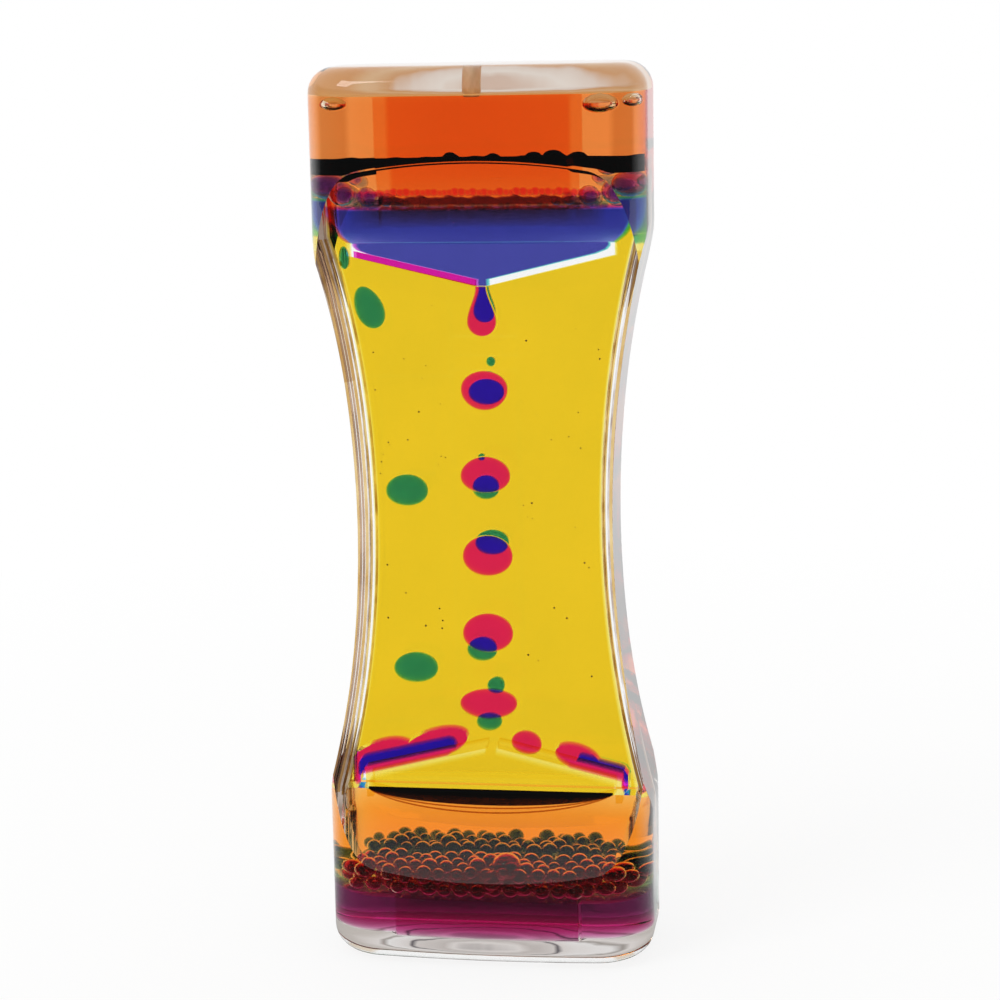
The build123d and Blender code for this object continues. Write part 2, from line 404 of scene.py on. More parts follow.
# %% [markdown]
# ## Acrylic and liquids
# Inside the block every body is counted against acrylic: a liquid that bends light less than
# acrylic has an index under 1. Its colour comes from absorption, set so that a given depth lets
# through a given colour. One surface colour could not do this, because the same oil is yellow in
# the thin waist and orange in the deep ends.

# %% Clear materials
ACRYLIC_INDEX = 1.49
SAME_INDEX = 1.0
AIR_INDEX = 1 / ACRYLIC_INDEX
ACRYLIC_TINT, TINT_SCALE = (0.985, 0.99, 0.985), 90
RIPPLE_SCALE, RIPPLE_HEIGHT = 60, 0.02


def clear_finish(index):
    return {"Transmission Weight": 1, "Roughness": 0, "IOR": index}


def clear_material(name, index):
    return cloudy_material(name, TINT_SCALE, ACRYLIC_TINT, WHITE, clear_finish(index))


def add_ripple(material):
    tree = material.node_tree
    height = {"Height": add_cloud(tree, RIPPLE_SCALE), "Distance": RIPPLE_HEIGHT * MM}
    bump = add_node(tree, "Bump", {"Strength": 1, **height})
    tree.links.new(bump.outputs["Normal"], tree.nodes["Principled BSDF"].inputs["Normal"])


ACRYLIC = clear_material("clear_acrylic", ACRYLIC_INDEX)
add_ripple(ACRYLIC)
SHEET = clear_material("acrylic_sheet", SAME_INDEX)
AIR = clear_material("air_bubble", AIR_INDEX)
print("clear materials:", len(bpy.data.materials))

# %% Liquids
DROP_INDEX = 0.985
BEAD_INDEX = 0.96
DEEP_OIL_INDEX = 0.94
LOW_WATER_INDEX = 0.915
FOAM_INDEX = 0.9
HEADROOM = 1.02  # keeps every channel of an absorption colour above nought
CHAMBERS = (("front", -1), ("rear", 1))  # name, and the side of the divider


def liquid(name, index, seen, depth):
    """seen is the light that passes through a depth of this liquid, in millimetres."""
    material = clear_material(name, index)
    tree = material.node_tree
    loss = [-math.log(share) / (depth * MM) for share in seen]
    most = max(loss) * HEADROOM
    values = {"Color": tuple(1 - value / most for value in loss), "Density": most}
    volume = add_node(tree, "VolumeAbsorption", values).outputs["Volume"]
    tree.links.new(volume, tree.nodes["Material Output"].inputs["Volume"])
    return material


def waters(name, index, magenta, cyan, depth):
    """The same body of water in both chambers, magenta in front and cyan behind."""
    front = liquid("magenta_" + name, index, magenta, depth)
    return {-1: front, 1: liquid("cyan_" + name, index, cyan, depth)}


OIL = liquid("oil_in_waist", SAME_INDEX, (0.9225, 0.757, 0.125), 3.3)
TOP_OIL = liquid("oil_above", SAME_INDEX, (0.87, 0.27, 0.06), 11)
LOW_OIL = liquid("oil_below", DEEP_OIL_INDEX, (0.99, 0.48, 0.10), 11)
DROP = waters("drop", DROP_INDEX, (0.784, 0.022, 0.62), (0.03, 0.29, 0.56), 3.1)
FUNNEL = waters("funnel", SAME_INDEX, (0.55, 0.12, 0.65), (0.11, 0.54, 0.555), 3.3)
POOL = waters("pool", SAME_INDEX, (0.55, 0.12, 0.65), (0.11, 0.54, 0.555), 6.2)
LOW_POOL = waters("low_pool", LOW_WATER_INDEX, (0.60, 0.06, 0.26), (0.28, 0.42, 0.36), 6)
FOAM = waters("foam", FOAM_INDEX, (0.46, 0.025, 0.18), (0.06, 0.16, 0.17), 2)
BEAD = waters("bead", BEAD_INDEX, (0.45, 0.08, 0.42), (0.22, 0.28, 0.50), 3.6)
# The next two tints are painted shade at the front ledge: a dark sheet and fine dark lines. The
# first also darkens the band on the wall above the upper pool.
DARK_BAND_AND_SHADE = liquid("dark_band_and_ledge_shade", SAME_INDEX, (0.03, 0.012, 0.006), 0.25)
LINE = liquid("painted_shade_line", SAME_INDEX, (0.55, 0.30, 0.12), 0.12)
SCUM = liquid("dark_scum", SAME_INDEX, (0.12, 0.03, 0.16), 4.5)
SCUM_EDGE = liquid("scum_edge", SAME_INDEX, (0.85, 0.28, 0.10), 2.25)
print("materials:", len(bpy.data.materials))

# %% [markdown]
# ## The block
# The two moulded halves and the walls between the liquids are one index, so only the outside
# bends light. It could be carved from a box with modifiers, but a grid keeps the crease sharp where
# a scoop runs out: columns run up the face, closer together towards the sides, and the rows of each
# column meet the crease. The underside has an oval recess.

# %% Rings of the block
COLUMNS = 96
SIDE_STEPS = 6
RIM_ROWS = 8
FACE_ROWS = 14
WAIST_ROWS = 64
shares = column_shares(COLUMNS)


def block_column(u):
    """Heights and rim insets of one column, from the base to the top."""
    turn = crease(u, 0)
    rows = []
    for i in range(RIM_ROWS):
        angle = math.pi / 2 * i / RIM_ROWS
        rows.append((EDGE_RADIUS * (1 - math.cos(angle)), EDGE_RADIUS * (1 - math.sin(angle))))
    rows += [(z, 0) for z in between(EDGE_RADIUS, MID - turn, FACE_ROWS)]
    rows += [(z, 0) for z in between(MID - turn, MID, WAIST_ROWS // 2)]
    return rows + [(MID, 0)] + [(HEIGHT - z, inset) for z, inset in reversed(rows)]


block_columns = [block_column(u) for u in shares]


def block_ring(row):
    front = []
    for u, column in zip(shares, block_columns):
        z, inset = column[row]
        x = u * half_width(z, inset)
        front.append((x, -face_y(x, z, inset), z))
    x, y, z = front[-1]
    side = [(x, y + (-2 * y) * i / SIDE_STEPS, z) for i in range(1, SIDE_STEPS)]
    back = [(x, -y, z) for x, y, z in reversed(front)]
    other = [(-x, -y, z) for x, y, z in side]
    return front + side + back + other


rings = [block_ring(row) for row in range(len(block_columns[0]))]
print(len(rings), "rings of", len(rings[0]), "points")

# %% Recess and block
FOOT_LENGTH, FOOT_WIDTH, FOOT_RECESS = 28.0, 12.0, 0.8


def foot_point(x, y):
    """The edge of the recess under the base, in the direction of a point."""
    radius = FOOT_WIDTH / 2
    straight = FOOT_LENGTH / 2 - radius
    if abs(y) > 0 and abs(x) * radius / abs(y) <= straight:
        scale = radius / abs(y)
    else:
        a = x * x + y * y
        b = -2 * abs(x) * straight
        c = straight**2 - radius**2
        scale = (-b + math.sqrt(b * b - 4 * a * c)) / (2 * a)
    return x * scale, y * scale


foot = [foot_point(x, y) for x, y, z in rings[0]]
rings = [[(x, y, level) for x, y in foot] for level in (FOOT_RECESS, 0)] + rings
block = piece(
    "clear_block",
    [loft(rings)],
    ACRYLIC,
    sharp=13,
    nodes=("front_shell", "rear_shell"),
)
print("block faces", len(block.data.polygons))

# %% [markdown]
# ## Liquids in the reservoirs
# In both ends the halves are hollow to the wall. A reservoir's body is the block's form set in by
# the wall, cut by two levels and by the divider. It could be cut from a copy of the block, but a
# grid of its own keeps its rows on the crease and lets it draw in at its foot and in its corners.

# %% Sizes inside the block
SIDE_WALL = 2.3
END_WALL = 4.0
DIVIDER_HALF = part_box("divider_plate")[1].y / MM
CHAMBER_FAR = DIVIDER_HALF + 3.3
UPPER_LEVEL = top_of("front_upper_pool")
LOWER_LEVEL = top_of("front_lower_pool")
LEDGE_HALF = 44.0
LEDGE_TOP = MID + LEDGE_HALF
LEDGE_BOTTOM = MID - LEDGE_HALF
TOP_SPARE = 0.5  # room left over the upper oil
print("ledges at", round(LEDGE_BOTTOM, 1), "and", round(LEDGE_TOP, 1), "mm")

# %% How deep a reservoir reaches
SIDE_POCKET, POCKET_RUN = 14.5, 0.3  # a pocketed body gets shallower here, over a short run
UPPER_POCKET, LOWER_POCKET, NO_POCKET = 0.58, 0.78, 1  # the share of the depth that is left
LENS_HALF = 19.6  # the ledge is lens shaped, seen from above
LENS_RUN = 2.6


def inner_y(x, z, inset, pocket=UPPER_POCKET):
    """How far a reservoir reaches from the middle plane."""
    full = face_y(x, z, inset)
    step = min(max((abs(x) - SIDE_POCKET) / POCKET_RUN, 0), 1)
    share = 1 - (1 - pocket) * step * step * (3 - 2 * step)
    return DIVIDER_HALF + (full - DIVIDER_HALF) * share


def over_ledge_y(x, z, inset, pocket):
    """The same, drawn in to a lens shape where the reservoir starts on its ledge."""
    full = inner_y(x, z, inset, pocket)
    rise = min((z - LEDGE_TOP) / LENS_RUN, 1)
    bow = math.sqrt(max(1 - (x / LENS_HALF) ** 2, 0))
    lens = min(full, CHAMBER_FAR + (full - CHAMBER_FAR) * bow)
    return lens + (full - lens) * math.sin(math.pi / 2 * rise)


print("upper pool", round(inner_y(0, UPPER_LEVEL, SIDE_WALL) - DIVIDER_HALF, 1), "mm deep")

# %% Reservoir bodies
CAVITY_EDGE, FLOOR_EDGE = 1.5, 0.7  # rounding of the rim, above and at the floor
CAVITY_ROWS = 6
CAVITY_COLUMNS = 72
LEVEL_ROWS = 8
LENS_ROWS = 8
POCKET_STEPS = 3
CREASE_MARGIN = 0.1  # share of a body's height that stays free of the crease
end_half = WIDTH / 2 - SIDE_WALL
cavity_shares = column_shares(CAVITY_COLUMNS)
for i in range(POCKET_STEPS + 1):
    step_share = (SIDE_POCKET + POCKET_RUN * i / POCKET_STEPS) / end_half
    cavity_shares += [-step_share, step_share]
cavity_shares.sort()


def reservoir_column(u, low, high, edge, spare):
    """Heights and insets of one column, from the ledge to the end wall, as if upper."""
    wall = SIDE_WALL + GAP
    top = HEIGHT - END_WALL - GAP - spare
    rounded = high > top - edge
    end = top - edge if rounded else high
    rows = []
    if low < LEDGE_TOP + LENS_RUN:
        rows = [(z, wall) for z in between(low, low + LENS_RUN, LENS_ROWS)]
        low = low + LENS_RUN
    margin = CREASE_MARGIN * (end - low)
    turn = min(max(MID + crease(u, wall), low + margin), end - margin)
    rows += [(z, wall) for z in between(low, turn, LEVEL_ROWS)]
    rows += [(z, wall) for z in between(turn, end, LEVEL_ROWS)]
    if not rounded:
        return rows + [(end, wall)]
    for i in range(CAVITY_ROWS + 1):
        angle = math.pi / 2 * i / CAVITY_ROWS
        rise, inset = edge * math.sin(angle), edge * (1 - math.cos(angle))
        rows.append((end + rise, wall + inset))
    return rows


def reservoir(front, low, high, pocket, narrower=0, edge=CAVITY_EDGE, spare=TOP_SPARE):
    """A shell filling one half between two heights, above or below the waist."""
    upper = low > MID
    if not upper:
        low, high = HEIGHT - high, HEIGHT - low
    columns = [reservoir_column(u, low, high, edge, spare) for u in cavity_shares]
    near = front * (DIVIDER_HALF + GAP)
    rings = []
    for row in range(len(columns[0])):
        ring = []
        for u, column in zip(cavity_shares, columns):
            z, inset = column[row]
            x = u * (half_width(z, inset) - narrower * (1 - (z - low) / (high - low)) ** 2)
            y = front * over_ledge_y(x, z, inset, pocket)
            ring.append((x, y, z if upper else HEIGHT - z))
        x, y, z = ring[-1]
        rings.append([(-x, near, z)] + ring + [(x, near, z)])
    return loft(rings)


print("reservoirs of", len(cavity_shares), "columns")

# %% [markdown]
# ## Drops, squeezed flat
# A drop between two close walls is a disc with a rounded rim. Its outline is an ellipse, an egg or
# a free curve. A squashed ball would be round all over, so instead rings of the outline, drawn in
# towards the two faces, give the rim.

# %% Outlines
OUTLINE_POINTS = 56


def ellipse(x, z, width, height, tilt=0, egg=0):
    points = []
    for i in range(OUTLINE_POINTS):
        angle = 2 * math.pi * i / OUTLINE_POINTS
        across = width / 2 * math.cos(angle) * (1 - egg * math.sin(angle))
        along = height / 2 * math.sin(angle)
        points.append(
            (
                x + across * math.cos(tilt) + along * math.sin(tilt),
                z - across * math.sin(tilt) + along * math.cos(tilt),
            )
        )
    return points


def drop_outline(node, egg, size=None, tilt=0):
    """An egg in the place of a modelled drop, and of its size unless another is given."""
    low, high = corners_of(node)
    width, height = size or (high.x - low.x, high.z - low.z)
    return ellipse((low.x + high.x) / 2, (low.z + high.z) / 2, width, height, tilt, egg)


def box_outline(x1, x2, z1, z2):
    return [(x1, z1), (x2, z1), (x2, z2), (x1, z2)]


def mirrored(outline, side):
    """An outline drawn on the right, on the side that is asked for, still anticlockwise."""
    return outline if side > 0 else [(-x, z) for x, z in reversed(outline)]


def shifted(line, across, up=0):
    return [(x + across, z + up) for x, z in line]


def drawn_in(outline, distance):
    """The outline moved inwards; an outline runs anticlockwise."""
    moved = []
    for i, (x, z) in enumerate(outline):
        before, after = outline[i - 1], outline[(i + 1) % len(outline)]
        run = Vector((after[0] - before[0], after[1] - before[1])).normalized()
        moved.append((x - run.y * distance, z + run.x * distance))
    return moved


print("drops are rings of", OUTLINE_POINTS, "points")

# %% Bodies from outlines
RIM_STEPS = 5
DROP_RIM, THIN_RIM, WEDGE_RIM = 0.9, 0.5, 0.4
DROP_NEAR, DROP_FAR = DIVIDER_HALF + 0.1, CHAMBER_FAR - 0.1


def water_drop(outline, front, rim=DROP_RIM, inward=False):
    """A flat drop in its chamber, or the cavity for it."""
    extra = GAP if inward else 0
    outline = drawn_in(outline, -extra)
    near, far, rim = DROP_NEAR - extra, DROP_FAR + extra, rim + extra
    steps = [math.pi / 2 * i / RIM_STEPS for i in range(RIM_STEPS + 1)]
    profile = [(rim * (1 - math.sin(a)), near + rim * (1 - math.cos(a))) for a in steps]
    profile += [(rim * (1 - math.sin(a)), far - rim * (1 - math.cos(a))) for a in reversed(steps)]
    rings = [[(x, front * y, z) for x, z in drawn_in(outline, d)] for d, y in profile]
    return loft(rings, inward)


def cavities(outlines, front, rim=DROP_RIM):
    return [water_drop(outline, front, rim, inward=True) for outline in outlines]


def prism(outline, front):
    """A body as deep as its chamber."""
    ends = DIVIDER_HALF + GAP, CHAMBER_FAR - GAP
    return loft([[(x, front * y, z) for x, z in outline] for y in ends])


def add_drop(name, outline, front, body, nodes=(), rim=DROP_RIM):
    drop = water_drop(outline, front, rim)
    piece(name, [drop], DROP[front], body=body, nodes=nodes)


def add_oil(name, outline, front, holes=(), blend=None):
    piece(name, [prism(outline, front), *holes], OIL, blend=blend)


print("flat drops are", round(DROP_FAR - DROP_NEAR, 1), "mm thick")

# %% [markdown]
# ## The ramps
# Each chamber has a funnel of two sloping strips at the top and the same turned over below. The
# strips are plain flat acrylic, so the modelled pieces stay and only get a finish: wet with magenta
# water, oily, or clear. Their lines bound the water of the funnel and the oil around it, so they
# are written down here.

# %% Ramp lines
NOZZLE_TIP = foot_of("front_upper_left_ramp")
ROOF_TIP = HEIGHT - NOZZLE_TIP
NOZZLE_HALF = 0.85
RAMP_THICK = 1.0
PASSAGE = 2.5  # left free between a ramp and the side wall
RAMP_TILT = math.radians(14)
SLOPE = math.tan(RAMP_TILT)
REACH = half_width(LEDGE_TOP, SIDE_WALL) - PASSAGE
LIP_IN = REACH - RAMP_THICK
RAMP_RISE = RAMP_THICK * math.sqrt(1 + SLOPE**2)


def under_funnel(x):
    return NOZZLE_TIP + max(abs(x) - NOZZLE_HALF, 0) * SLOPE - GAP


def roof(x):
    return ROOF_TIP - max(abs(x) - NOZZLE_HALF, 0) * SLOPE + GAP


def wall_x(z):
    return half_width(z, SIDE_WALL + GAP)


print("funnel reaches", round(REACH, 2), "mm to each side")

# %% Ramp finishes
DRY_LIP = 0.3


def wet_material(name, wet, low, high):
    """Clear sheet, tinted by a film of liquid between two places across."""
    material, tree, surface = new_material(name, clear_finish(SAME_INDEX))
    across = add_node(tree, "SeparateXYZ", {0: place_node(tree)}).outputs["X"]
    middle, half = (low + high) / 2 * MM, (high - low) / 2 * MM
    soaked = math_node(tree, "COMPARE", across, middle, half)
    tree.links.new(mix_colours(tree, soaked, WHITE, wet), surface.inputs["Base Color"])
    return material


RAMP_FINISH = {
    "front_upper": wet_material("wet_sheet", (0.66, 0.01, 0.34), -LIP_IN + DRY_LIP, 0),
    "rear_lower": wet_material("oily_sheet", (0.93, 0.78, 0.20), -WIDTH, WIDTH),
}
ramps = [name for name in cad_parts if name.endswith("_ramp")]
for name in ramps:
    place = "_".join(name.split("_")[:2])
    for material_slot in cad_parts[name].material_slots:
        material_slot.material = RAMP_FINISH.get(place, SHEET)
print(len(ramps), "ramps")

# %% [markdown]
# ## The divider
# A clear sheet parts the two chambers. The ramps end on it, and two clear faces that share one
# place trap light between them, so the sheet is built again a hair thinner than the gap it fills.

# %% Divider sheet
DIVIDER_SEAT = 1.0  # how far its edges are let into the walls
DIVIDER_ROWS = 60
divider_low, divider_high = corners_of("divider_plate")


def divider_outline():
    rows = between(divider_low.z + GAP, divider_high.z - GAP, DIVIDER_ROWS)
    edge = [(half_width(z, SIDE_WALL - DIVIDER_SEAT + GAP), z) for z in rows]
    edge.append((edge[0][0], divider_high.z - GAP))
    return edge + [(-x, z) for x, z in reversed(edge)]


sheet_half = DIVIDER_HALF - GAP
divider = loft([[(x, y, z) for x, z in divider_outline()] for y in (-sheet_half, sheet_half)])
piece("divider_sheet", [divider], SHEET, nodes=("divider_plate",))
print("divider", round(2 * sheet_half, 2), "mm thick")

# %% [markdown]
# ## Water on the lower ramps
# Water that has landed creeps down the roof in thick puddles and trickles over its ends. Metaballs
# would run together like this, but a puddle fills its chamber from wall to wall, so its outline is
# enough: a layer with a round nose, swollen where drops have just joined it.

# %% Edge of the water
# Each puddle: where its layer starts, the layer's thickness, and bumps (middle, half width, height)
PUDDLES = {
    ("front", -1): (7.5, 2.8, [(8.7, 5.2, 4.9), (17.3, 4.8, 5.0)]),
    ("front", 1): (12.0, 2.4, [(13.9, 3.6, 4.0)]),
    ("rear", -1): (5.9, 1.9, []),
    ("rear", 1): (13.3, 1.3, []),
}
TRICKLE_IN, TRICKLE_OUT = REACH + 0.15, REACH + 1.35
TRICKLE_END = LEDGE_BOTTOM + 0.4
TRICKLE_ROUND = 0.5, 0.35  # rounding at its end, up and across
SHOULDER_BEND = [(0.6, -0.35), (TRICKLE_OUT - TRICKLE_IN, -1.3)]
PUDDLE_STEP = 0.25
NOSE_STEPS = 8
NOSE_ANGLE = math.radians(62)
NOSE_FOOT = 0.35


def puddle_height(x, start, thick, bumps):
    nose = min(max((x - start) / thick, 0), 1)
    heights = [thick * math.sqrt(1 - (1 - nose) ** 2)]
    for middle, half, height in bumps:
        if abs(x - middle) <= half:
            heights.append(height / 2 * (1 + math.sqrt(1 - ((x - middle) / half) ** 2)))
    return max(heights)


def nose_line(start, thick, bumps):
    """From the ramp to the tip of the water, which hangs over if the first bump is round."""
    if not bumps:
        return [(start, roof(start))]
    middle, half, height = bumps[0]
    foot = middle - NOSE_FOOT * half
    line = [(foot, roof(foot))]
    for i in range(NOSE_STEPS + 1):
        angle = NOSE_ANGLE * (1 - i / NOSE_STEPS)
        x = middle - half * math.cos(angle)
        line.append((x, roof(x) + height / 2 * (1 - math.sin(angle))))
    return line


def water_line(key):
    """Edge of the water on a ramp from its nose outwards, on the right side."""
    line = nose_line(*PUDDLES[key])
    first = line[-1][0]
    count = int((REACH - first) / PUDDLE_STEP)
    places = [first + (REACH - first) * i / count for i in range(1, count + 1)]
    line += [(x, roof(x) + puddle_height(x, *PUDDLES[key])) for x in places]
    line += shifted(SHOULDER_BEND, TRICKLE_IN, line[-1][1])
    return line + [(TRICKLE_OUT, TRICKLE_END + TRICKLE_ROUND[0])]


print("water lines of", [len(water_line(key)) for key in PUDDLES], "points")


# %% Outlines along the water
def puddle(key):
    rise, across = TRICKLE_ROUND
    inner = [(REACH, roof(REACH)), (TRICKLE_IN, roof(REACH)), (TRICKLE_IN, TRICKLE_END + rise)]
    foot = [(TRICKLE_IN + across, TRICKLE_END), (TRICKLE_OUT - across, TRICKLE_END)]
    return inner + foot + water_line(key)[::-1]


def zone_floor(key, first):
    """Lower edge of the oil beside the fall, over the water, down to the ledge."""
    line = water_line(key)
    return [(first, roof(first))] + line[:-1] + [(TRICKLE_OUT, LEDGE_BOTTOM + GAP)]


print("puddle outlines of", [len(puddle(key)) for key in PUDDLES], "points")

# %% [markdown]
# ## Oil in the waist
# The oil around a falling row has to give way to it. One still body would be cut by the drops as
# they sink, so the oil is divided: still bodies at the sides, a column that carries the cavities of
# the row, and short columns above and below that fill the room between the two.

# %% Zones beside the fall
FALL_HALF = 5.2
WALL_STEPS = 48


def wall_line(low, high):
    return [(wall_x(z), z) for z in between(low, high, WALL_STEPS)] + [(wall_x(high), high)]


def top_edge(inner):
    return [
        (REACH + GAP, LEDGE_TOP - GAP),
        (REACH + GAP, under_funnel(REACH)),
        (inner, under_funnel(inner)),
    ]


def side_zone(floor, inner):
    """Oil from a floor line at the inner edge to the side wall and up to the ledge."""
    return floor + wall_line(LEDGE_BOTTOM + GAP, LEDGE_TOP - GAP) + top_edge(inner)


print("oil beside the fall", round(wall_x(MID) - FALL_HALF, 1), "mm wide at the waist")

# %% Funnel water, roof pockets and puddles
FUNNEL_ROUND = 2.2
FUNNEL_BEND = 0.25, 0.15, 0.35  # where the rounding bends and how far up it ends
throat = NOZZLE_TIP + RAMP_RISE
funnel_end = NOZZLE_TIP + (LIP_IN - NOZZLE_HALF) * SLOPE + RAMP_RISE
funnel_half = [
    (NOZZLE_HALF - GAP, NOZZLE_TIP),
    (NOZZLE_HALF - GAP, throat + GAP),
    (LIP_IN - GAP - FUNNEL_ROUND, funnel_end - FUNNEL_ROUND * SLOPE + GAP),
    (LIP_IN - GAP - FUNNEL_BEND[0] * FUNNEL_ROUND, funnel_end + FUNNEL_BEND[1]),
    (LIP_IN - GAP, funnel_end + FUNNEL_BEND[2] * FUNNEL_ROUND),
    (LIP_IN - GAP, LEDGE_TOP - HAIR),
]
pocket_half = [
    (LIP_IN - GAP, LEDGE_BOTTOM + GAP),
    (LIP_IN - GAP, HEIGHT - funnel_end - GAP),
    (NOZZLE_HALF - GAP, HEIGHT - throat - GAP),
    (NOZZLE_HALF - GAP, ROOF_TIP - GAP),
]
funnel_outline = funnel_half + mirrored(funnel_half, -1)
pocket_outline = pocket_half + mirrored(pocket_half, -1)

for name, front in CHAMBERS:
    piece(name + "_funnel_water", [prism(funnel_outline, front)], FUNNEL[front])
    add_oil(name + "_roof_oil", pocket_outline, front)
    for side, hand in ((-1, "left"), (1, "right")):
        outline = drawn_in(mirrored(puddle((name, side)), side), 2 * GAP)
        nodes = (f"{name}_{hand}_puddle",)
        piece(f"{name}_{hand}_water", [prism(outline, front)], DROP[front], nodes=nodes)
print("funnels from", round(throat, 1), "to", round(funnel_end, 1), "mm")

# %% [markdown]
# ## The falling rows
# A drop forms under each nozzle, and a row of drops sinks below it. The drops of a row ride on its
# body. Their cavities are part of the oil column round them, so the column is drawn with them.

# %% The top of a fall
ROW_CLEAR, ROW_FOOT = 0.15, 0.1  # oil that moves with a row, over and under it
HANG_LOW = foot_of("front_hanging_drop")
NECK_STEPS = 8
BELLY_STEPS = 16


def hanging_outline(width, low):
    """A drop that hangs on a neck as wide as the nozzle."""
    neck = NOZZLE_HALF - 2 * GAP
    radius = width / 2
    top = NOZZLE_TIP - 3 * GAP
    centre = low + radius
    points = [(-neck, top)]
    for i in range(1, NECK_STEPS):
        t = i / NECK_STEPS
        ease = t * t * (3 - 2 * t)
        points.append((-(neck + (radius - neck) * ease), top + (centre - top) * t))
    neck_line = points[:]
    for i in range(BELLY_STEPS + 1):
        angle = math.pi + math.pi * i / BELLY_STEPS
        points.append((radius * math.cos(angle), centre + radius * math.sin(angle)))
    return points + mirrored(neck_line, -1)


def column_top(low):
    half = FALL_HALF
    edge = [(half, under_funnel(half)), (NOZZLE_HALF, under_funnel(0))]
    return [(-half, low), (half, low)] + edge + mirrored(edge, -1)


def add_column(side, front, row_top, hang):
    """The still top of a fall with its hanging drop, and the stretch above the row."""
    still = HANG_LOW - ROW_FOOT
    add_oil(side + "_fall_top", column_top(still), front, cavities([hang], front, THIN_RIM))
    add_drop(side + "_forming_drop", hang, front, "case", (side + "_hanging_drop",), THIN_RIM)
    stretch = box_outline(-FALL_HALF, FALL_HALF, row_top + GAP, still - GAP)
    ends = (0, 0, still - GAP), (0, 0, row_top + GAP)
    add_oil(side + "_fall_stretch", stretch, front, blend=("case", side + "_row", *ends))


def row_drops(row, eggs):
    """Outlines of the drops of a row, from the top down, by how egg shaped they are."""
    names = [f"{row}_drop_{number}" for number in range(1, len(eggs) + 1)]
    return {name: drop_outline(name, egg) for name, egg in zip(names, eggs)}


def add_row(row, drops, front, rim=DROP_RIM):
    for node, outline in drops.items():
        add_drop(node.replace("drop", "bead"), outline, front, row + "_row", (node,), rim)
    print(row, "row of", len(drops), "drops")


print("drops hang down to", round(HANG_LOW, 1), "mm")

# %% The front row
FRONT_HANG_WIDTH = 4.5
FRONT_EGGS = [-0.05, 0.08, 0.03, 0.03, -0.04]
ROW_TOP = top_of("front_drop_1") + ROW_CLEAR
ROW_LOW = foot_of("front_drop_5") - ROW_FOOT
# The column is narrower below the row. Its edges there, on the left and on the right, follow the
# lowest drop, and a corner piece on each side fills the room above the water.
FOOT_LEFT = 3.2
STRIP_START, STRIP_SHOULDER, STRIP_END = 2.6, 3.25, 10.2  # of the oil on the right lower ramp
LEFT_EDGE = [(FALL_HALF, 39.9), (FOOT_LEFT, 37.6)]
LEFT_FLOOR = [(FALL_HALF, 36.4), (4.2, 36.0), (3.6, 35.5), (FOOT_LEFT, 35.0)]
RIGHT_EDGE = [(STRIP_START, 37.7), (STRIP_SHOULDER, 38.42), (FALL_HALF, 40.3)]
FALL_END = ROOF_TIP + 0.2

add_column("front", -1, ROW_TOP, hanging_outline(FRONT_HANG_WIDTH, HANG_LOW))
front_drops = row_drops("front", FRONT_EGGS)
row_outline = [
    *[(-x, z) for x, z in LEFT_EDGE],
    (-FOOT_LEFT, roof(FOOT_LEFT)),
    (-NOZZLE_HALF, roof(0)),
    (NOZZLE_HALF, roof(0)),
    (STRIP_START, roof(STRIP_START)),
    *RIGHT_EDGE,
    (FALL_HALF, ROW_TOP),
    (-FALL_HALF, ROW_TOP),
]
add_oil("front_fall", row_outline, -1, cavities(front_drops.values(), -1),
        blend=("front_row", "case", (0, 0, ROW_LOW), (0, 0, FALL_END)))
add_row("front", front_drops, -1)

# %% Oil beside the front row
STRIP_RISE = 4.1
STRIP_START_TOP = 34.9


def strip_top(x):
    return roof(x) + STRIP_RISE


def corner_blend(high, low):
    return "front_row", "case", (0, 0, high - ROW_FOOT), (0, 0, low)


right_floor = [
    (STRIP_START + HAIR, STRIP_START_TOP + GAP),
    (STRIP_SHOULDER, strip_top(STRIP_SHOULDER) + GAP),
    (FALL_HALF, strip_top(FALL_HALF) + GAP),
]
right_corner = right_floor + shifted(RIGHT_EDGE[::-1], HAIR, -HAIR)
left_corner = shifted(LEFT_FLOOR[::-1], HAIR) + shifted(LEFT_EDGE, HAIR, -HAIR)
add_oil("front_fall_corner", right_corner, -1,
        blend=corner_blend(RIGHT_EDGE[0][1], right_floor[1][1]))
add_oil("front_fall_left_corner", mirrored(left_corner, -1), -1,
        blend=corner_blend(LEFT_EDGE[1][1], LEFT_FLOOR[0][1]))

beside = FALL_HALF + 2 * HAIR
left_floor = shifted(LEFT_FLOOR, 2 * HAIR, -HAIR)
left_floor += zone_floor(("front", -1), FOOT_LEFT + 2 * HAIR)
strip_line = [(beside, strip_top(FALL_HALF) + GAP), (STRIP_END, strip_top(STRIP_END) + GAP)]
strip_line += zone_floor(("front", 1), STRIP_END + GAP)
add_oil("front_left_oil", mirrored(side_zone(left_floor, beside), -1), -1)
add_oil("front_right_oil", side_zone(strip_line, beside), -1)
print("oil beside the row starts", round(beside, 2), "mm out")

# %% The drop on the right lower ramp
RUNNER_SIZE, RUNNER_EGG = (4.9, 3.6), 0.06
runner = drop_outline("ramp_drop", RUNNER_EGG, RUNNER_SIZE, RAMP_TILT)
runner_start = min(x for x, z in runner) - ROW_FOOT
runner_end = max(x for x, z in runner) + ROW_FOOT
strip = [
    (runner_start, roof(runner_start)),
    (STRIP_END, roof(STRIP_END)),
    (STRIP_END, strip_top(STRIP_END)),
    (runner_start, strip_top(runner_start)),
]
strip_start = [
    (STRIP_START + HAIR, roof(STRIP_START)),
    (runner_start - HAIR, roof(runner_start)),
    (runner_start - HAIR, strip_top(runner_start)),
    (STRIP_START + HAIR, STRIP_START_TOP),
]
add_oil("ramp_strip", strip, -1, cavities([runner], -1),
        blend=("ramp_runner", "case", (runner_end, 0, 0), (STRIP_END, 0, 0)))
add_oil("ramp_strip_start", strip_start, -1,
        blend=("case", "ramp_runner", (STRIP_START, 0, 0), (runner_start - HAIR, 0, 0)))
add_drop("ramp_bead", runner, -1, "ramp_runner", ("ramp_drop",))
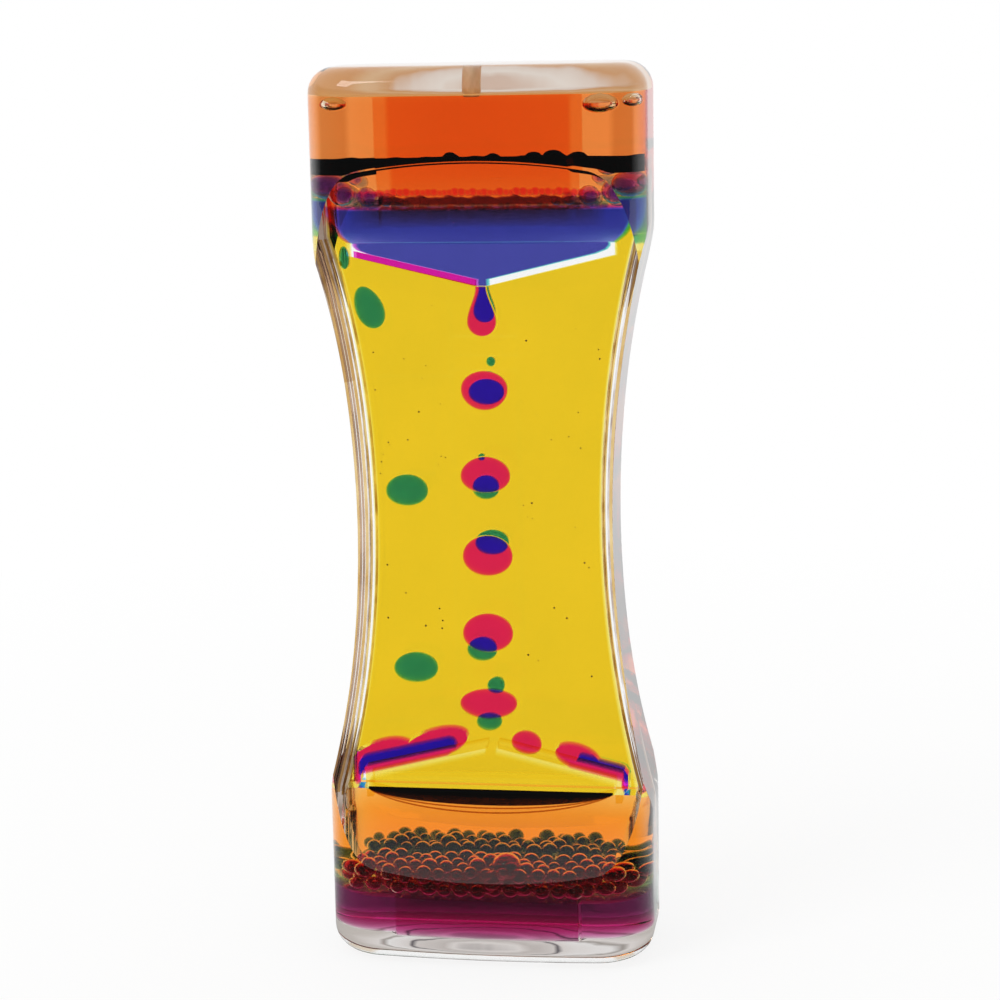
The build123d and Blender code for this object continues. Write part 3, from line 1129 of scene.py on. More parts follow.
print("ramp drop from", round(runner_start, 2), "to", round(runner_end, 2))

# %% The rear row and the drop on the roof
REAR_HANG_WIDTH, REAR_HANG_HIGHER = 3.5, 2.0
REAR_EGGS, ROOF_EGG = [0.04] * 7, -0.05
REAR_TOP = top_of("rear_drop_1") + ROW_CLEAR
REAR_LOW = foot_of("rear_drop_7") - ROW_FOOT
REAR_STILL = top_of("roof_drop") + ROW_CLEAR

add_column("rear", 1, REAR_TOP, hanging_outline(REAR_HANG_WIDTH, HANG_LOW + REAR_HANG_HIGHER))
rear_drops = row_drops("rear", REAR_EGGS)
rear_fall = box_outline(-FALL_HALF, FALL_HALF, REAR_STILL + GAP, REAR_TOP)
add_oil("rear_fall", rear_fall, 1, cavities(rear_drops.values(), 1, THIN_RIM),
        blend=("rear_row", "case", (0, 0, REAR_LOW), (0, 0, REAR_STILL + GAP)))
add_row("rear", rear_drops, 1, THIN_RIM)
roof_bead = drop_outline("roof_drop", ROOF_EGG)
right_half = [(NOZZLE_HALF, roof(0)), (FALL_HALF, roof(FALL_HALF)), (FALL_HALF, REAR_STILL)]
rear_foot = mirrored(right_half[:2], -1) + right_half + [(-FALL_HALF, REAR_STILL)]
add_oil("rear_fall_foot", rear_foot, 1, cavities([roof_bead], 1))
add_drop("roof_bead", roof_bead, 1, "case", ("roof_drop",))

# %% The row on the left of the rear chamber
SIDE_EGGS = [0.05] * 2
SLOT_SHY, SLOT_WIDTH = 0.9, 8.4  # distance from the waist's wall, and width of the moving oil
SLOT_OUT = wall_x(MID) + GAP - SLOT_SHY
SLOT_IN = SLOT_OUT - SLOT_WIDTH
SLOT_TOP, SLOT_LOW = 92.2, 35.96
SIDE_TOP = top_of("side_drop_1") + ROW_CLEAR
SIDE_LOW = foot_of("side_drop_2") - ROW_FOOT

side_drops = row_drops("side", SIDE_EGGS)
side_stretch = box_outline(-SLOT_OUT, -SLOT_IN, SIDE_TOP + GAP, SLOT_TOP)
add_oil("side_fall_stretch", side_stretch, 1,
        blend=("case", "side_row", (0, 0, SLOT_TOP), (0, 0, SIDE_TOP + GAP)))
side_fall = box_outline(-SLOT_OUT, -SLOT_IN, SLOT_LOW, SIDE_TOP)
add_oil("side_fall", side_fall, 1, cavities(side_drops.values(), 1),
        blend=("side_row", "case", (0, 0, SIDE_LOW), (0, 0, SLOT_LOW)))
add_row("side", side_drops, 1)

# %% Still drops and oil of the rear chamber
WALL_BEAD_SIZE, WALL_BEAD_EGG, WALL_BEAD_TILT = (4.4, 7.2), 0.12, math.radians(-20)
WEDGE_PLACE, WEDGE_SIZE, WEDGE_EGG = (-REACH - 1.0, LEDGE_TOP - 2.3), (1.5, 3.8), 0.1
zone = FALL_HALF + HAIR

wall_bead = drop_outline("wall_drop", WALL_BEAD_EGG, WALL_BEAD_SIZE, WALL_BEAD_TILT)
wedge = ellipse(*WEDGE_PLACE, *WEDGE_SIZE, egg=WEDGE_EGG)
add_drop("wall_bead", wall_bead, 1, "case", ("wall_drop",))
add_drop("wedge_bead", wedge, 1, "case", rim=WEDGE_RIM)
over_slot, under_slot = SLOT_TOP + GAP, SLOT_LOW - GAP
upper_zone = [(zone, over_slot)] + wall_line(over_slot, LEDGE_TOP - GAP) + top_edge(zone)
add_oil("rear_left_upper_oil", mirrored(upper_zone, -1), 1,
        cavities([wall_bead], 1) + cavities([wedge], 1, WEDGE_RIM))
lower_zone = zone_floor(("rear", -1), zone) + wall_line(LEDGE_BOTTOM + GAP, under_slot)
add_oil("rear_left_lower_oil", mirrored(lower_zone + [(zone, under_slot)], -1), 1)
slot_edge = SLOT_OUT + HAIR
outer_strip = [(slot_edge, SLOT_LOW)] + wall_line(SLOT_LOW, SLOT_TOP) + [(slot_edge, SLOT_TOP)]
add_oil("rear_left_wall_oil", mirrored(outer_strip, -1), 1)
add_oil("rear_left_oil", box_outline(-SLOT_IN + HAIR, -zone, SLOT_LOW, SLOT_TOP), 1)
add_oil("rear_right_oil", side_zone(zone_floor(("rear", 1), zone), zone), 1)

# %% [markdown]
# ## Foam
# Small drops that have not joined a pool yet lie on it like foam. Below they are packed in layers
# with a little disorder from a fixed seed, and above they stand in a row along the wall. The large
# drops in the upper corners have cavities in the oil. The small ones lie in it without, so that the
# oil's tint adds to theirs and darkens them. Particles could strew them, but not so evenly.

# %% Foam drops
BALL_RINGS = 7
BALL_POINTS = 14
BALL_POLE = 0.15  # the first ring stands this share of a step from the pole
FOAM_DROP, FOAM_SIZES = 1.3, (0.8, 1.12)
FOAM_WALL = SIDE_WALL + 0.3
FOAM_LAYERS = 2
LAYER_PITCH, ROW_PITCH, FIRST_ROW, STAGGER = 1.5, 1.8, 1.1, 0.8  # in foam drops
DISORDER_ACROSS, DISORDER_UP = 0.15, 0.25
SMALL_DROP, SMALL_SIZES = 0.62, (0.8, 1.2)
SMALL_WALL = SIDE_WALL + 0.2
SMALL_PITCH, SMALL_RISE = 1.4, 0.8
ROW_REACH = 19.5
SCUM_HEIGHT = 1.3


def ball(x, y, z, radius, flat, inward=False):
    radius = radius + GAP if inward else radius
    turns = [2 * math.pi * j / BALL_POINTS for j in range(BALL_POINTS)]
    rings = []
    for i in range(BALL_RINGS + 1):
        angle = math.pi * (i + BALL_POLE) / (BALL_RINGS + 2 * BALL_POLE) - math.pi / 2
        around = radius * math.cos(angle)
        height = z + radius * flat * math.sin(angle)
        rings.append([(x + around * math.cos(t), y + around * math.sin(t), height) for t in turns])
    return loft(rings, inward)


def lower_foam(front, seed):
    """Layers of drops on the lower pool, packed like peas in a box, with a little disorder."""
    chance = random.Random(seed)
    found = []
    for layer in range(FOAM_LAYERS):
        z = LOWER_LEVEL + FOAM_DROP + 4 * GAP + layer * LAYER_PITCH * FOAM_DROP
        deep = inner_y(0, z, FOAM_WALL, NO_POCKET) - DIVIDER_HALF
        for row in range(int(deep / (ROW_PITCH * FOAM_DROP))):
            y = DIVIDER_HALF + 5 * GAP + FOAM_DROP * (FIRST_ROW + ROW_PITCH * row)
            count = int(half_width(z, FOAM_WALL) / FOAM_DROP)
            for i in range(count):
                place = 2 * i - count + 1 + (row + layer) % 2 * STAGGER
                x = place * FOAM_DROP + chance.gauss(0, DISORDER_ACROSS)
                radius = FOAM_DROP * chance.uniform(*FOAM_SIZES)
                height = z + chance.gauss(0, DISORDER_UP)
                out = abs(x) + radius
                fits = out < half_width(z, FOAM_WALL)
                if fits and y + radius < inner_y(out, z + radius, FOAM_WALL, NO_POCKET):
                    found.append((x, front * y, height, radius))
    return found


def upper_foam(front, seed):
    """A row of small drops along the wall of the upper pool."""
    chance = random.Random(seed)
    lift = SCUM_HEIGHT if front < 0 else 0
    found = []
    x = -ROW_REACH
    while x < ROW_REACH:
        radius = SMALL_DROP * chance.uniform(*SMALL_SIZES)
        z = UPPER_LEVEL + lift + SMALL_RISE * radius + 4 * GAP
        found.append((x, front * (inner_y(x, z - radius, SMALL_WALL) - radius), z, radius))
        x += SMALL_PITCH * radius
    return found


print("a ball has", BALL_POINTS * (BALL_RINGS + 1), "points")

# %% Foam, oil and water of the reservoirs
UPPER_SEED, LOWER_SEED = {-1: 5, 1: 6}, {-1: 15, 1: 16}
CORNER_FLAT, UPPER_FLAT, LOWER_FLAT = 0.98, 0.94, 0.9
BIG_FOAM = {-1: [(3.0, -8.0, 14.9, 2.4), (0.7, -9.0, 13.0, 1.5)], 1: []}
POOL_NARROWER = 2.6  # how far the upper pool draws in at its foot
pool_low = LEDGE_TOP + HAIR
# Drops in the upper corners: place across, place in depth, height over the pool, radius
CORNER_DROPS = [
    (20.9, 3.2, 2.3, 2.1), (17.0, 3.0, 1.75, 1.65), (21.9, 3.4, 5.3, 0.95),
    (18.6, 3.3, 4.75, 1.15), (14.0, 3.4, 1.2, 1.1), (12.0, 4.0, 0.85, 0.75),
]


def add_beads(side, front, place, drops, flat, water, nodes=()):
    balls = [ball(*drop, flat) for drop in drops]
    name = f"{side}_{place}_beads"
    piece(name, balls, water[front], sharp=BALL_SHARP, nodes=nodes)
    print(name, len(drops))


for side, front in CHAMBERS:
    corners = [(x * hand, front * y, UPPER_LEVEL + rise, radius)
               for x, y, rise, radius in CORNER_DROPS for hand in (-1, 1)]
    small = upper_foam(front, UPPER_SEED[front])
    packed = lower_foam(front, LOWER_SEED[front]) + BIG_FOAM[front]
    add_beads(side, front, "corner", corners, CORNER_FLAT, BEAD)
    add_beads(side, front, "upper", small, UPPER_FLAT, DROP, (side + "_upper_foam",))
    add_beads(side, front, "lower", packed, LOWER_FLAT, FOAM, (side + "_lower_foam",))
    upper_oil = [reservoir(front, UPPER_LEVEL + GAP, HEIGHT, UPPER_POCKET)]
    upper_oil += [ball(*drop, CORNER_FLAT, inward=True) for drop in corners]
    lower_oil = [reservoir(front, LOWER_LEVEL + GAP, LEDGE_BOTTOM - GAP, NO_POCKET)]
    upper_water = [reservoir(front, pool_low, UPPER_LEVEL, NO_POCKET, POOL_NARROWER)]
    lower_water = [reservoir(front, 0, LOWER_LEVEL, LOWER_POCKET, edge=FLOOR_EDGE, spare=0)]
    piece(side + "_upper_oil", upper_oil, TOP_OIL, nodes=(side + "_oil",))
    piece(side + "_lower_oil", lower_oil, LOW_OIL)
    piece(side + "_upper_water", upper_water, POOL[front], nodes=(side + "_upper_pool",))
    piece(side + "_lower_water", lower_water, LOW_POOL[front], nodes=(side + "_lower_pool",))

# %% [markdown]
# ## Beside and on the upper pool
# The upper pool draws in towards its foot, and oil fills the corner that it leaves. On the pool,
# under the row of small drops, lies a layer of drops too fine to be told apart. It is built as one
# dark layer, with a thinner one below it that fades into the pool.

# %% Oil beside the foot of the upper pool
POOL_SIDE_STEPS = 16
POOL_SIDE_SHARE = 0.8  # of the pool's height
pool_height = UPPER_LEVEL - pool_low
heights = between(pool_low, pool_low + POOL_SIDE_SHARE * pool_height, POOL_SIDE_STEPS)
narrowed = [POOL_NARROWER * (1 - (z - pool_low) / pool_height) ** 2 for z in heights]
inner_edge = [(wall_x(z) - less + HAIR, z) for z, less in zip(heights, narrowed)]
side_low = LEDGE_TOP - GAP + HAIR
pool_side = [(inner_edge[0][0], side_low), (wall_x(LEDGE_TOP), side_low)]
pool_side += [(wall_x(z), z) for z in heights] + inner_edge[::-1]
for side, front in CHAMBERS:
    wedges = [prism(mirrored(pool_side, hand), front) for hand in (-1, 1)]
    piece(side + "_pool_side_oil", wedges, OIL)
print("pool draws in", round(narrowed[0], 1), "mm at its foot")

# %% Scum on the upper pool
SCUM_FADE = 3.6
SCUM_DEPTH = 4.5
SCUM_END = 0.05
SCUM_STEPS = 80
SCUM_WAVES = (0.15, 1.3), (0.1, 3.1)  # size and rate of two waves along its upper edge
THIN_LAYER_WALL = SIDE_WALL + 0.15


def waves(x, first, second):
    return first[0] * math.sin(first[1] * x) + second[0] * math.sin(second[1] * x + 1)


def scum(low, high, depth, foot):
    """A layer under the front row of small drops, thinner at its ends and at its foot."""
    rings = []
    for i in range(SCUM_STEPS + 1):
        x = ROW_REACH * (2 * i / SCUM_STEPS - 1)
        near = inner_y(x, low, THIN_LAYER_WALL)
        top = high + waves(x, *SCUM_WAVES)
        thick = SCUM_END + (depth - SCUM_END) * (1 - (x / ROW_REACH) ** 4)
        section = (near, low), (near - min(foot, thick), low), (near - thick, top), (near, top)
        rings.append([(x, -y, z) for y, z in section])
    return loft(rings)


over = scum(UPPER_LEVEL + 3 * GAP, UPPER_LEVEL + SCUM_HEIGHT, SCUM_DEPTH, SCUM_DEPTH)
under = scum(UPPER_LEVEL - SCUM_FADE, UPPER_LEVEL - 10 * GAP, SCUM_DEPTH / 2, SCUM_END)
piece("front_scum", [over], SCUM)
piece("front_scum_fade", [under], SCUM_EDGE)
print("scum", SCUM_HEIGHT, "mm high, fading over", SCUM_FADE, "mm")

# %% [markdown]
# ## Dark band, painted shade, bubbles and specks
# A dark band lies on the wall just above the upper pool. Along the front ledge under the roof lies
# painted shade: a dark lens with two fine dark lines below it, where the ledge turns light back
# into the block. A few bubbles of air are trapped under the top, and specks of dust hang in the
# oil. The band and the shade are only tints, so they lie in the oil or the wall with no cavity.
# Painting them on the block would be easier, but then they would not shift against the liquids when
# the view turns.

# %% Dark band on the wall above the upper pool
BAND_DEPTH = 0.6
BAND_HEIGHT = 126.7
BAND_LOW = 123.8
BAND_SAG = 0.5
BAND_STEPS = 90
BAND_WAVES = (0.12, 0.9), (0.08, 1.7)
CREASE_CLEAR = 0.05
band_reach = half_width(BAND_HEIGHT, THIN_LAYER_WALL) - 0.3
# Each bump along its upper edge: place, half width, height
BAND_BUMPS = [
    (-3.0, 1.1, 0.7), (3.4, 0.9, 0.5), (9.5, 1.3, 0.7), (12.4, 1.6, 1.0), (15.6, 1.3, 0.6),
]


def wall_band():
    rings = []
    for i in range(BAND_STEPS + 1):
        x = band_reach * (2 * i / BAND_STEPS - 1)
        share = abs(x) / band_reach
        middle = BAND_HEIGHT - BAND_SAG * share * share
        top = middle + waves(x, *BAND_WAVES)
        for place, half, height in BAND_BUMPS:
            top = max(top, middle + height * math.sqrt(max(1 - ((x - place) / half) ** 2, 0)))
        near = inner_y(x, middle, THIN_LAYER_WALL)
        y1, y2 = -near, BAND_DEPTH - near
        low = max(MID + crease(x / half_width(middle, 0), 0) + CREASE_CLEAR, BAND_LOW)
        rings.append([(x, y1, low), (x, y2, low), (x, y2, top), (x, y1, top)])
    return loft(rings)


piece("front_dark_band", [wall_band()], DARK_BAND_AND_SHADE)
print("film at", BAND_HEIGHT, "mm, reaching", round(band_reach, 1), "mm to each side")

# %% Painted shade and fine dark lines on the front ledge
LEDGE_FALL = 1.15  # how far the painted shade hangs below the ledge
LEDGE_SHADE_THICK = 0.25
LEDGE_STEPS = 60
LEDGE_ROWS = 6
SHADE_REACH, LINE_REACH = 0.998, 0.98  # shares of the lens
LINE_DEPTH, LINE_HEIGHT = 0.12, 0.26
LEDGE_LINES = [1.5, 2.1]  # their fall, counted in that of the painted shade


def along_ledge(share):
    """Places across, each with how far a lens shape falls there, from 0 to 1."""
    places = [share * LENS_HALF * (2 * i / LEDGE_STEPS - 1) for i in range(LEDGE_STEPS + 1)]
    return [(x, 1 - (x / LENS_HALF) ** 2) for x in places]


def ledge_y(x, z):
    return over_ledge_y(x, HEIGHT - z, SIDE_WALL, NO_POCKET)


def ledge_painted_shade():
    rings = []
    for x, bow in along_ledge(SHADE_REACH):
        edges = []
        for off in (2 * GAP, 2 * GAP + LEDGE_SHADE_THICK):
            edge = [(CHAMBER_FAR + 2 * GAP, LEDGE_BOTTOM + off)]
            for row in range(LEDGE_ROWS + 1):
                z = LEDGE_BOTTOM - LEDGE_FALL * bow * row / LEDGE_ROWS
                edge.append((ledge_y(x, z) + off, z + off * (1 - row / LEDGE_ROWS)))
            edges.append(edge)
        rings.append([(x, -y, z) for y, z in edges[0] + edges[1][::-1]])
    return loft(rings)


def ledge_line(fall):
    rings = []
    for x, bow in along_ledge(LINE_REACH):
        z = LEDGE_BOTTOM - fall * LEDGE_FALL * bow
        y = ledge_y(x, z) + 2 * GAP
        section = box_outline(y, y + LINE_DEPTH, z, z + LINE_HEIGHT)
        rings.append([(x, -depth, height) for depth, height in section])
    return loft(rings)


# A dark sheet of painted shade under the ledge, and two fine lines of painted shade below it.
piece("ledge_painted_shade", [ledge_painted_shade()], DARK_BAND_AND_SHADE)
piece("ledge_lines", [ledge_line(fall) for fall in LEDGE_LINES], LINE)
print("ledge film falls", LEDGE_FALL, "mm")

# %% Bubbles under the top
# Each bubble: place across, height, radius
BUBBLES = [(-20.3, 134.4, 1.4), (18.0, 134.0, 2.0), (21.7, 134.4, 1.4)]
BUBBLE_Y, BUBBLE_FLAT = -4.2, 0.7
bubbles = [ball(x, BUBBLE_Y, z, radius, BUBBLE_FLAT) for x, z, radius in BUBBLES]
piece("air_bubbles", bubbles, AIR, sharp=BALL_SHARP)
print(len(bubbles), "bubbles")

# %% Specks of dust in the oil
SPECKS = 70
SPECK_SEED = 3
SPECK_RADIUS, SPECK_SIZES = 0.11, (0.5, 1.5)
SPECK_CLEAR = 0.5  # from the moving oil
SPECK_LOW, SPECK_HIGH = 45, 104
DARK_DUST, PALE_DUST = (0.10, 0.03, 0.01), (0.3, 0.12, 0.03)
DUST = cloudy_material("speck", 400, DARK_DUST, PALE_DUST, {"Roughness": 0.7})

chance = random.Random(SPECK_SEED)
specks = []
for _ in range(SPECKS):
    z = chance.uniform(SPECK_LOW, SPECK_HIGH)
    x = chance.uniform(-1, 1) * (wall_x(z) - 1)
    if abs(x) > FALL_HALF + SPECK_CLEAR:
        radius = SPECK_RADIUS * chance.uniform(*SPECK_SIZES)
        specks.append(ball(x, -CHAMBER_FAR + 0.3, z, radius, 1))
piece("dust_specks", specks, DUST, sharp=BALL_SHARP)
print(len(specks), "specks")

# %% [markdown]
# ## Streaks and seams on the sides
# The two halves meet in the middle of each side wall. Streaks of the tan room, seen bent through
# the
# wall, run up it. They are painted: each is a thin clear ribbon that follows the wall and tints
# light.
# Where the sides run out into the ends the glue is hazy. Haze scatters light, which would take many
# samples to trace, so the seams there are thin bodies that shine a little: their pale and dark
# bands are painted glints and painted shade over the hazy glue.

# %% Painted streaks on the side walls
# The shades are painted streaks of the tan room and of white light, as seen bent through the side
# wall.
# Each streak: distance of its two edges from the outside, place in depth, and its two shades
STREAKS = [
    (0.06, 0.40, -0.5, (0.25, 0.15, 0.10), (0.72, 0.52, 0.38)),
    (0.44, 0.92, -0.1, (0.62, 0.38, 0.12), (0.86, 0.66, 0.34)),
    (0.96, 1.26, 0.4, (0.45, 0.34, 0.28), (0.97, 0.97, 1.0)),
    (1.40, 1.80, -1.6, (0.50, 0.30, 0.08), (0.88, 0.68, 0.30)),
    (1.84, 2.24, 1.6, (0.45, 0.26, 0.06), (0.92, 0.74, 0.38)),
]
STREAK_DEPTH = 0.1
STREAK_ROWS = 70
STREAK_LOW = 24.0


def streak(side, outer, inner, y):
    heights = between(STREAK_LOW, HEIGHT - STREAK_LOW, STREAK_ROWS)
    edge = [(half_width(z, outer), z) for z in heights]
    edge += [(half_width(z, inner), z) for z in reversed(heights)]
    outline = [(side * x, z) for x, z in edge]
    return loft([[(x, y + d, z) for x, z in outline] for d in (-STREAK_DEPTH, STREAK_DEPTH)])


for number, (outer, inner, y, dark, light) in enumerate(STREAKS):
    # Each ribbon's tint is a painted streak of the room seen through the wall.
    name = f"glue_streak_{number}"
    glue = cloudy_material(name, 90 + 40 * number, dark, light, clear_finish(SAME_INDEX))
    ribbons = [streak(side, outer, inner, y) for side in (-1, 1)]
    piece(name, ribbons, glue)
print(len(STREAKS), "streaks a side")

# %% Hazy seams where the sides run out, glowing with painted glints
# Each seam: distance of its two edges from the outside, and its two shades
# Their shades glow as painted light: pale glints of the bent wall, with painted shade between them,
# over the hazy glue.
SEAMS = [
    (0.08, 0.40, (0.08, 0.05, 0.04), (0.30, 0.20, 0.14)),
    (0.40, 1.30, (0.22, 0.15, 0.11), (0.48, 0.40, 0.35)),
    (1.30, 1.60, (0.12, 0.06, 0.04), (0.38, 0.24, 0.15)),
    (1.60, 2.20, (0.26, 0.18, 0.10), (0.52, 0.42, 0.30)),
]
SEAM_LOW, SEAM_HIGH = 17.0, 37.0
SEAM_POINT, SEAM_TIP = 6.0, 0.05  # a seam runs to a fine point at both ends
SEAM_ROWS = 40
SEAM_ENDS = DIVIDER_HALF + 2 * GAP, DIVIDER_HALF + 6 * GAP
SHINING = {"Emission Strength": 1, "Base Color": (0.05, 0.05, 0.05), "Roughness": 0.8}


def seam(side, outer, inner, upper):
    middle, half = (outer + inner) / 2, (inner - outer) / 2 - GAP
    edges = [], []
    for z in between(SEAM_LOW, SEAM_HIGH, SEAM_ROWS):
        wide = half * min(max(min(SEAM_HIGH - z, z - SEAM_LOW) / SEAM_POINT, SEAM_TIP), 1)
        for edge, inset in zip(edges, (middle - wide, middle + wide)):
            edge.append((side * half_width(z, inset), HEIGHT - z if upper else z))
    outline = edges[0] + edges[1][::-1]
    return loft([[(x, y, z) for x, z in outline] for y in SEAM_ENDS])


for number, (outer, inner, dark, light) in enumerate(SEAMS):
    name = f"glue_seam_{number}"
    haze_and_glint = cloudy_material(name, 150 + 60 * number, dark, light, SHINING, "Emission Color")
    ends = [seam(side, outer, inner, upper) for side in (-1, 1) for upper in (False, True)]
    piece(name, ends, haze_and_glint)
print(len(SEAMS), "seams in each corner")

# %% [markdown]
# ## Plugs
# Two tan plugs of set glue close the filling holes. They are short turned bodies, sunk a hair
# below the top, with a soft edge. A bevel modifier would give the edge too, but two more rings do.

# %% Filling plugs
PLUG_SINK = 0.15
PLUG_EDGE = 0.25
PLUG_POINTS = 32
DARK_TAN, PALE_TAN = (0.66, 0.40, 0.19), (0.84, 0.58, 0.33)
WAXY = {"Roughness": 0.45, "Subsurface Weight": 0.2, "Subsurface Scale": 0.6 * MM}
PLUG = cloudy_material("plug_glue", 900, DARK_TAN, PALE_TAN, WAXY)

for side, front in CHAMBERS:
    node = side + "_fill_plug"
    low, high = corners_of(node)
    radius = (high.x - low.x) / 2
    middle_y = (low.y + high.y) / 2
    top = high.z - PLUG_SINK
    levels = [(low.z, radius - PLUG_EDGE), (low.z + PLUG_EDGE, radius)]
    levels += [(top - PLUG_EDGE, radius), (top, radius - PLUG_EDGE)]
    turns = [2 * math.pi * j / PLUG_POINTS for j in range(PLUG_POINTS)]
    turned = [[(r * math.cos(t), middle_y + r * math.sin(t), z) for t in turns] for z, r in levels]
    piece(side + "_glue_plug", [loft(turned)], PLUG, sharp=50, nodes=(node,))
print("plugs", round(2 * radius, 1), "mm across")

# %% [markdown]
# ## Both ends
# The underside is moulded with an oval recess and a faint ring round it, and it passes on the white
# of the ground it stands on. Under the top lies a pale oval that mirrors a bright ceiling. Traced
# light would need far more samples for this than for all the rest, so a thin plate in each end
# carries the pale light in ovals.

# %% Light in ovals
OVAL_SPAN = 2.0  # the ovals are drawn out to this many times the first one
OVAL_WAVER, WAVER_SCALE = 0.14, 130
# Each stop of the ovals: share of the first oval, colour
BASE_OVALS = [
    (0.0, (0.34, 0.31, 0.30)), (0.35, (0.42, 0.39, 0.38)), (0.5, (0.66, 0.62, 0.60)),
    (0.64, (0.48, 0.44, 0.42)), (0.9, (0.58, 0.54, 0.52)), (0.97, (0.10, 0.09, 0.10)),
    (1.03, (0.62, 0.58, 0.56)), (1.3, (0.72, 0.70, 0.69)), (1.4, (0.30, 0.27, 0.25)),
    (1.5, (0.66, 0.62, 0.60)), (1.8, (0.50, 0.46, 0.43)),
]
CAP_OVALS = [
    (0.0, (0.50, 0.34, 0.26)), (0.45, (0.52, 0.38, 0.30)), (0.65, (0.64, 0.57, 0.51)),
    (0.85, (0.58, 0.47, 0.40)), (1.0, (0.48, 0.22, 0.07)), (1.2, (0.55, 0.33, 0.16)),
    (1.4, (0.50, 0.21, 0.05)), (1.8, (0.56, 0.24, 0.05)),
]


def oval_material(name, middle, size, stops):
    material, tree, surface = new_material(name, SHINING)
    length, width = size
    moved = vector_node(tree, "SUBTRACT", place_node(tree), Vector((*middle, 0)) * MM)
    stretch = Vector((2 / length / MM, 2 / width / MM, 0))
    distance = vector_node(tree, "LENGTH", vector_node(tree, "MULTIPLY", moved, stretch))
    wavering = add_cloud(tree, WAVER_SCALE, -OVAL_WAVER, OVAL_WAVER)
    share = math_node(tree, "DIVIDE", math_node(tree, "ADD", distance, wavering), OVAL_SPAN)
    ramp = add_node(tree, "ValToRGB", {"Fac": share})
    elements = ramp.color_ramp.elements
    while len(elements) < len(stops):
        elements.new(0.5)
    for element, (stop, colour) in zip(elements, stops):
        element.position = stop / OVAL_SPAN
        element.color = (*colour, 1)
    tree.links.new(ramp.outputs["Color"], surface.inputs["Emission Color"])
    return material


print("ovals of", len(BASE_OVALS), "and", len(CAP_OVALS), "stops")

# %% Plates in the ends
PLATE_THICK = 0.15
BASE_HEIGHT, BASE_INSET = 0.95, 3.0
CAP_HEIGHT, CAP_INSET = HEIGHT - END_WALL - TOP_SPARE + 2 * GAP, 4.0
BASE_MIDDLE, BASE_SIZE = (0, -4), (FOOT_LENGTH, FOOT_WIDTH)
CAP_MIDDLE, CAP_SIZE = (3.5, 0), (34, 11)


def end_plate(low, inset):
    edge = [u * (WIDTH / 2 - inset) for u in cavity_shares]
    outline = [(x, -crown_y(x, inset)) for x in edge]
    outline += [(x, crown_y(x, inset)) for x in reversed(edge)]
    return loft([[(x, y, z) for x, y in outline] for z in (low, low + PLATE_THICK)])


base_light = oval_material("base_ovals", BASE_MIDDLE, BASE_SIZE, BASE_OVALS)
cap_light = oval_material("cap_ovals", CAP_MIDDLE, CAP_SIZE, CAP_OVALS)
piece("base_plate", [end_plate(BASE_HEIGHT, BASE_INSET)], base_light)
piece("cap_plate", [end_plate(CAP_HEIGHT, CAP_INSET)], cap_light)
print("plates at", BASE_HEIGHT, "and", round(CAP_HEIGHT, 2), "mm")

# %% [markdown]
# ## The studio
# The timer stands on a white sweep. Clear things are lit from behind: what shows in them is the
# white ground, and a room round it that has soft tan bands at the sides and a tan ceiling, which
# draw the edges of the block. The world shows plain white to the camera, and the room only to light
# that has gone through the block. What the block mirrors is dark in front and white behind.

# %% Floor
FLOOR_DROP = 0.1
FLOOR_SIZE = 3.0  # metres
DARK_SWEEP, PALE_SWEEP, SWEEP_SCALE = (0.88, 0.88, 0.87), (0.92, 0.92, 0.91), 6
MIRRORED_FLOOR = (0.1, 0.1, 0.1)
SHADOW_FADE = 0.05, 0.3, 0.85, 1  # metres from the timer, and how white the floor looks there
MIRROR_FADE = -0.01, 0.03


def floor_material():
    matt = {"Roughness": 0.9}
    material = cloudy_material("white_sweep", SWEEP_SCALE, DARK_SWEEP, PALE_SWEEP, matt)
    tree = material.node_tree
    surface = tree.nodes["Principled BSDF"].outputs[0]
    path = tree.nodes.new("ShaderNodeLightPath").outputs
    place = place_node(tree)
    fade = span_node(tree, vector_node(tree, "LENGTH", place), *SHADOW_FADE)
    share = math_node(tree, "MULTIPLY", path["Is Camera Ray"], fade)
    seen = math_node(tree, "MAXIMUM", share, path["Is Transmission Ray"])
    behind = add_node(tree, "SeparateXYZ", {0: place}).outputs["Y"]
    dim = mix_colours(tree, span_node(tree, behind, *MIRROR_FADE), MIRRORED_FLOOR, WHITE)
    mirror_glow = add_node(tree, "Emission", {"Color": dim}).outputs[0]
    white_glow = add_node(tree, "Emission", {"Color": WHITE}).outputs[0]
    shaders = {"Fac": path["Is Glossy Ray"], 1: surface, 2: mirror_glow}
    plain = add_node(tree, "MixShader", shaders).outputs[0]
    mix = add_node(tree, "MixShader", {"Fac": seen, 1: plain, 2: white_glow}).outputs[0]
    tree.links.new(mix, tree.nodes["Material Output"].inputs["Surface"])
    return material


half = FLOOR_SIZE / 2
sweep = [(x, y, -FLOOR_DROP * MM) for x, y in box_outline(-half, half, -half, half)]
mesh = bpy.data.meshes.new("floor")
mesh.from_pydata(sweep, [], [(0, 1, 2, 3)])
mesh.materials.append(floor_material())
floor = bpy.data.objects.new("floor", mesh)
bpy.context.scene.collection.objects.link(floor)
print("floor", FLOOR_SIZE, "m each way")

# %% World
ROOM = (0.60, 0.40, 0.22)
CEILING = (0.72, 0.60, 0.45)
SIDE_BANDS = (0.80, 0.70, 0.58)
REFLECTED = (0.1, 0.1, 0.1)
AMBIENT = (0.8, 0.8, 0.8)
BAND_COUNT = 8
BAND_EDGE = -0.6, -0.1
CEILING_EDGE, ROOM_EDGE = (0.45, 0.6), (0.8, 0.9)  # as heights on a ball of directions
MIRROR_BACK, MIRROR_TOP = (0.1, 0.5), (0.26, 0.38)

